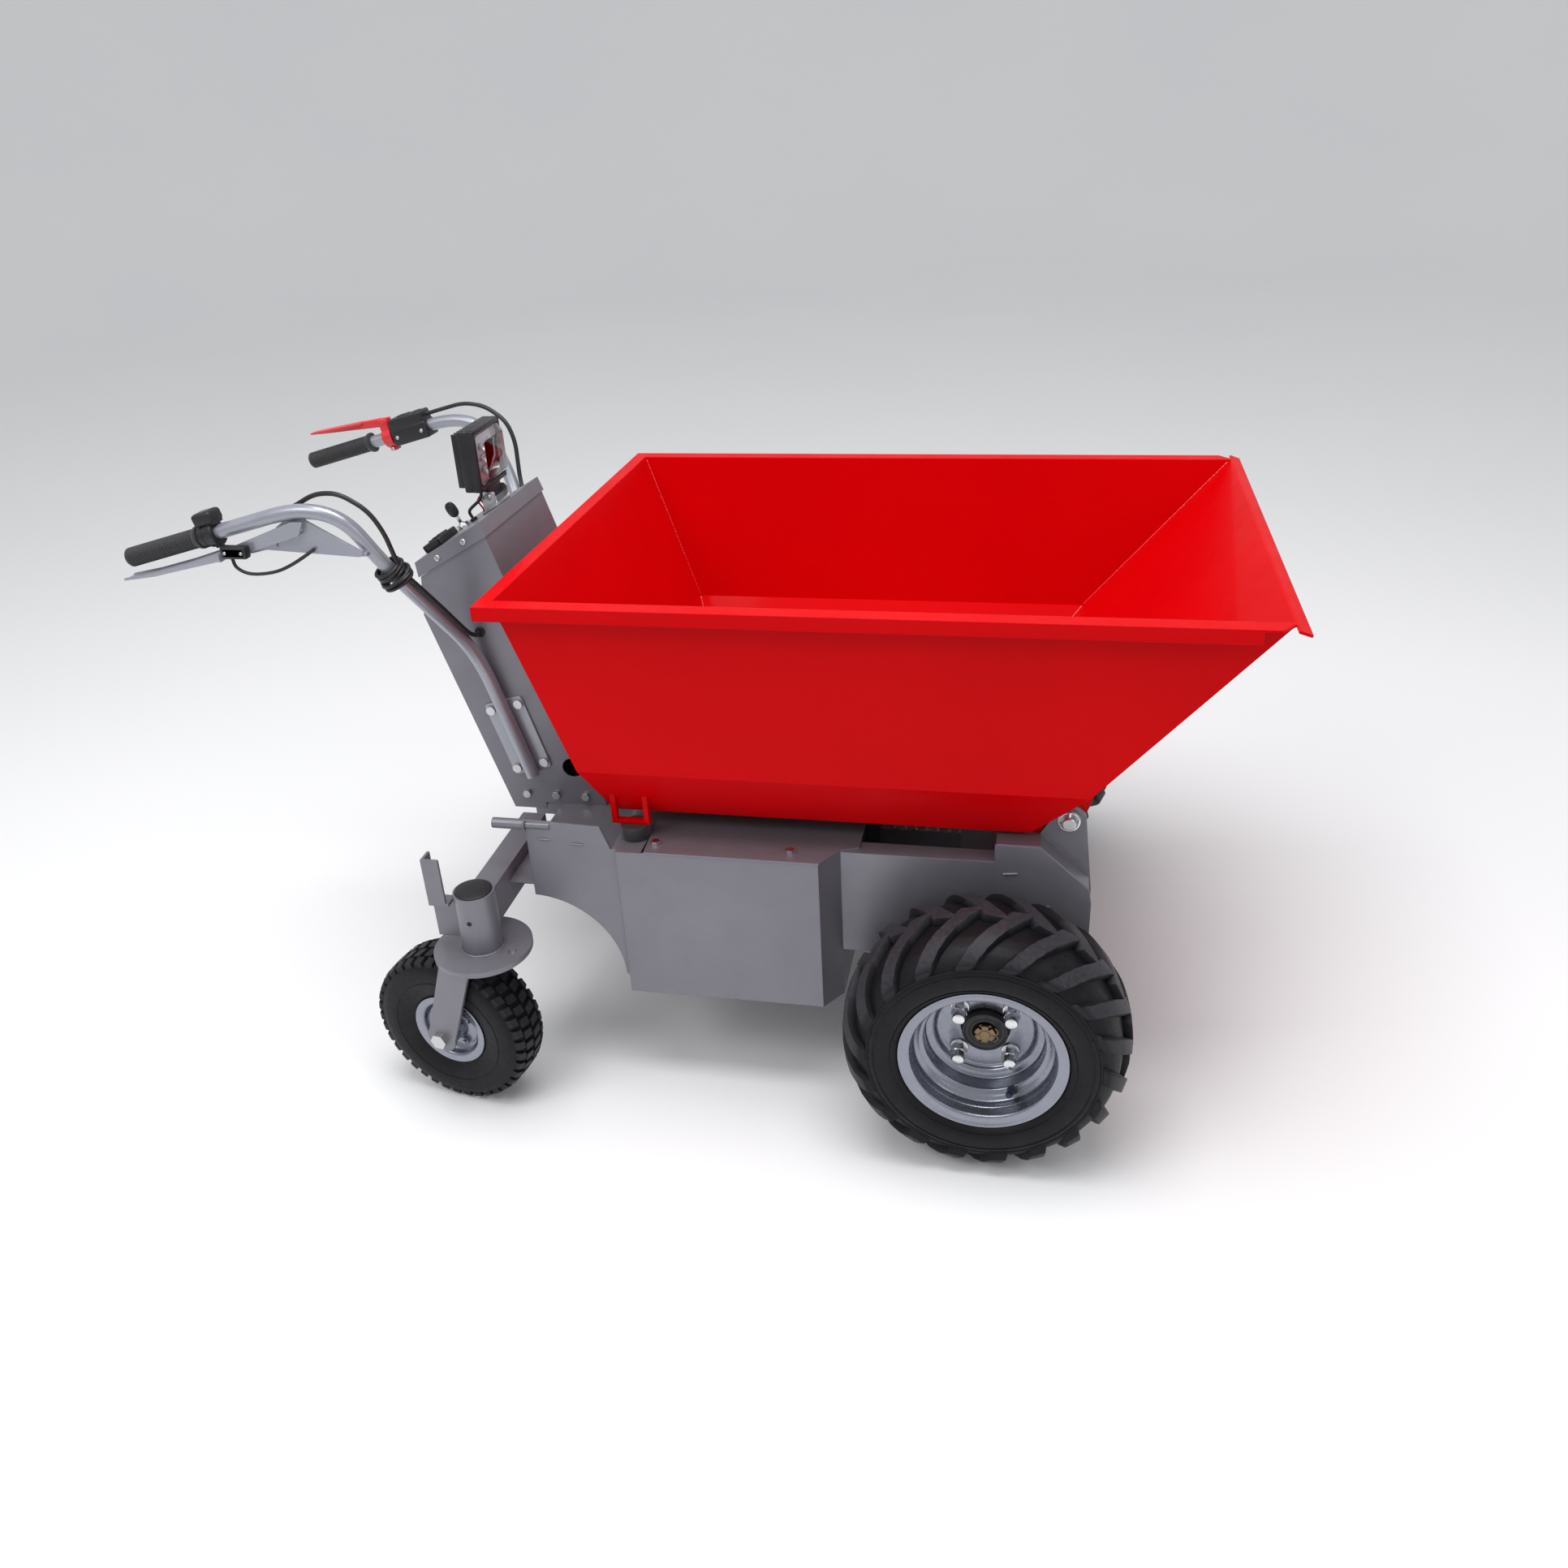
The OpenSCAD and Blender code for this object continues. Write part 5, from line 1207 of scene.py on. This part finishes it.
def pins_and_caps():
    for side, s in SIDES.items():
        b = Build()

        def f(p, s=s):
            return rel(101 + p[0], s * (290 + p[1]), 472 + p[2])
        turned(b, [(0.3, 13.9), (8.2, 13.9), (9.9, 12.2), (9.9, -19.2), (8.2, -19.9), (0.3, -19.9)], f, "y", 40)
        turned(b, [(10.0, 0.2), (15.6, 0.2), (16, 0.6), (16, 2.7), (15.6, 3.1), (10.0, 3.1)], f, "y", 48)
        piece(f"hinge_pin_{side}", b, "zinc", "chassis", 35)
        b = Build()
        b.tube([f((0, 8, 10.2)), f((0, 8, 17.4))], 0.0029, 16)
        ring = []
        for i in range(25):
            t = math.radians(-60 + 300 * i / 24)
            ring.append(f((13.6 * math.sin(t), 8 + 2.0 * math.sin(t * 0.5) ** 2, 2.6 + 13.6 * math.cos(t))))
        b.tube(ring, 0.0016, 10)
        piece(f"linch_pin_{side}", b, "chrome", "chassis", 40)
        b = Build()
        c = KING[side]

        def g(p, c=c):
            return c + Vector(p) / 1000
        turned(b, [(0.3, 381.0), (27, 381.0), (27.4, 382.2), (27.0, 383.6), (24.5, 384.6), (10, 384.9),
                   (0.3, 384.95)], g, "z", 56)
        piece(f"tube_plug_{side}", b, "plastic", "chassis", 25)
        b = Build()
        turned(b, [(0.3, 420.1), (21.0, 420.1), (21.9, 421.6), (22.3, 431), (21.9, 440.4), (20.6, 441.9),
                   (0.3, 441.9)], lambda p, s=s: rel(-523 + p[0], s * 317 + p[1], p[2]), "z", 48)
        piece(f"rubber_rest_{side}", b, "rubber", "chassis", 30)
        # painted shade: a thin near-black disc laid on the tube's face at its hole, standing in for the dark inside
        # of the hole
        b = Build()
        hole = c + Vector((0.0, s * 0.0301, 0.343))
        turned(b, [(0.2, 0.0), (3.4, 0.0), (3.6, 0.35), (3.0, 0.5), (2.7, 0.35), (0.2, 0.35)],
               lambda p, s=s: hole + Vector((p[0], s * p[1], p[2])) / 1000, "y", 24)
        piece(f"tube_hole_shade_{side}", b, "cast", "chassis", 30)
    for name, nodes in (("hinge_pin_right", ("pivot_pins",)), ("linch_pin_right", ("linch_pins",)),
                        ("tube_plug_right", ("kingpin_caps",)), ("rubber_rest_right", ("rest_buffers",))):
        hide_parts(*nodes)


for side in SIDES:
    handle(side)
    grip(side)
right_controls()
left_controls()
stop_lever()
leads()
hank()
console()
lamp()
hopper_detail()
chassis_welds()
pins_and_caps()


# ---- Stage, light, camera ----

def area(name, loc, target, size, power, colour=(1, 1, 1)):
    d = bpy.data.lights.new(name, "AREA")
    d.energy, d.shape, d.size, d.size_y, d.color = power, "RECTANGLE", size[0], size[1], colour
    o = bpy.data.objects.new(name, d)
    o.location = loc
    o.rotation_mode = "QUATERNION"
    o.rotation_quaternion = (Vector(target) - Vector(loc)).to_track_quat("-Z", "Y")
    bpy.context.scene.collection.objects.link(o)


def set_stage():
    """A pale floor that runs up into a plain wall all round."""
    profile = [(0.0, 0.0), (4.0, 0.0), (8.0, 0.0)]
    profile += [(8.0 + 4.0 * math.sin(t), 4.0 * (1 - math.cos(t))) for t in [PI / 2 * i / 10 for i in range(1, 11)]]
    b = Build()
    b.revolve(profile, 96, loop=False)
    me = bpy.data.meshes.new("floor")
    me.from_pydata([tuple(v) for v in b.v], [], [tuple(reversed(f)) for f in b.f])
    me.polygons.foreach_set("use_smooth", [True] * len(me.polygons))
    o = bpy.data.objects.new("floor", me)
    bpy.context.scene.collection.objects.link(o)
    n = Nodes("floor_pale")
    cloud = n.noise(0.6, 2.0)
    tone = n.ramp(cloud, "Fac", [(0.3, (0.875, 0.875, 0.885)), (0.7, (0.895, 0.895, 0.90))])
    n.link(tone, "Color", n.bsdf, "Base Color")
    n.set("Roughness", 0.8)
    me.materials.append(n.mat)
    world = bpy.data.worlds.new("studio")
    bpy.context.scene.world = world
    world.use_nodes = True
    bg = world.node_tree.nodes["Background"]
    bg.inputs["Color"].default_value = (0.97, 0.98, 1.0, 1)
    bg.inputs["Strength"].default_value = 0.60
    area("key", (-2.2, -3.0, 4.2), (0.1, 0, 0.4), (2.6, 1.6), 58)
    area("top", (0.2, -0.5, 3.4), (0.1, 0.1, 0.6), (2.4, 1.6), 76)
    area("fill", (3.6, -2.2, 2.4), (0.3, 0, 0.4), (1.8, 1.8), 13)


def set_camera():
    cam = bpy.data.cameras.new("camera")
    cam.sensor_width = 36
    cam.lens = 29.76
    cam.shift_x, cam.shift_y = 0.0011, -0.0220
    cam.clip_end = 60
    o = bpy.data.objects.new("camera", cam)
    right = Vector((0.9801, 0.1926, -0.0477)).normalized()
    fwd = Vector((-0.1926, 0.8655, -0.4624)).normalized()
    up = right.cross(fwd).normalized()
    right = fwd.cross(up)
    m = Matrix((right, up, -fwd)).transposed().to_4x4()
    m.translation = Vector((0.5176, -1.8794, 1.4105))
    o.matrix_world = m
    bpy.context.scene.collection.objects.link(o)
    bpy.context.scene.camera = o


set_stage()
set_camera()
bpy.context.scene.view_settings.view_transform = "Standard"
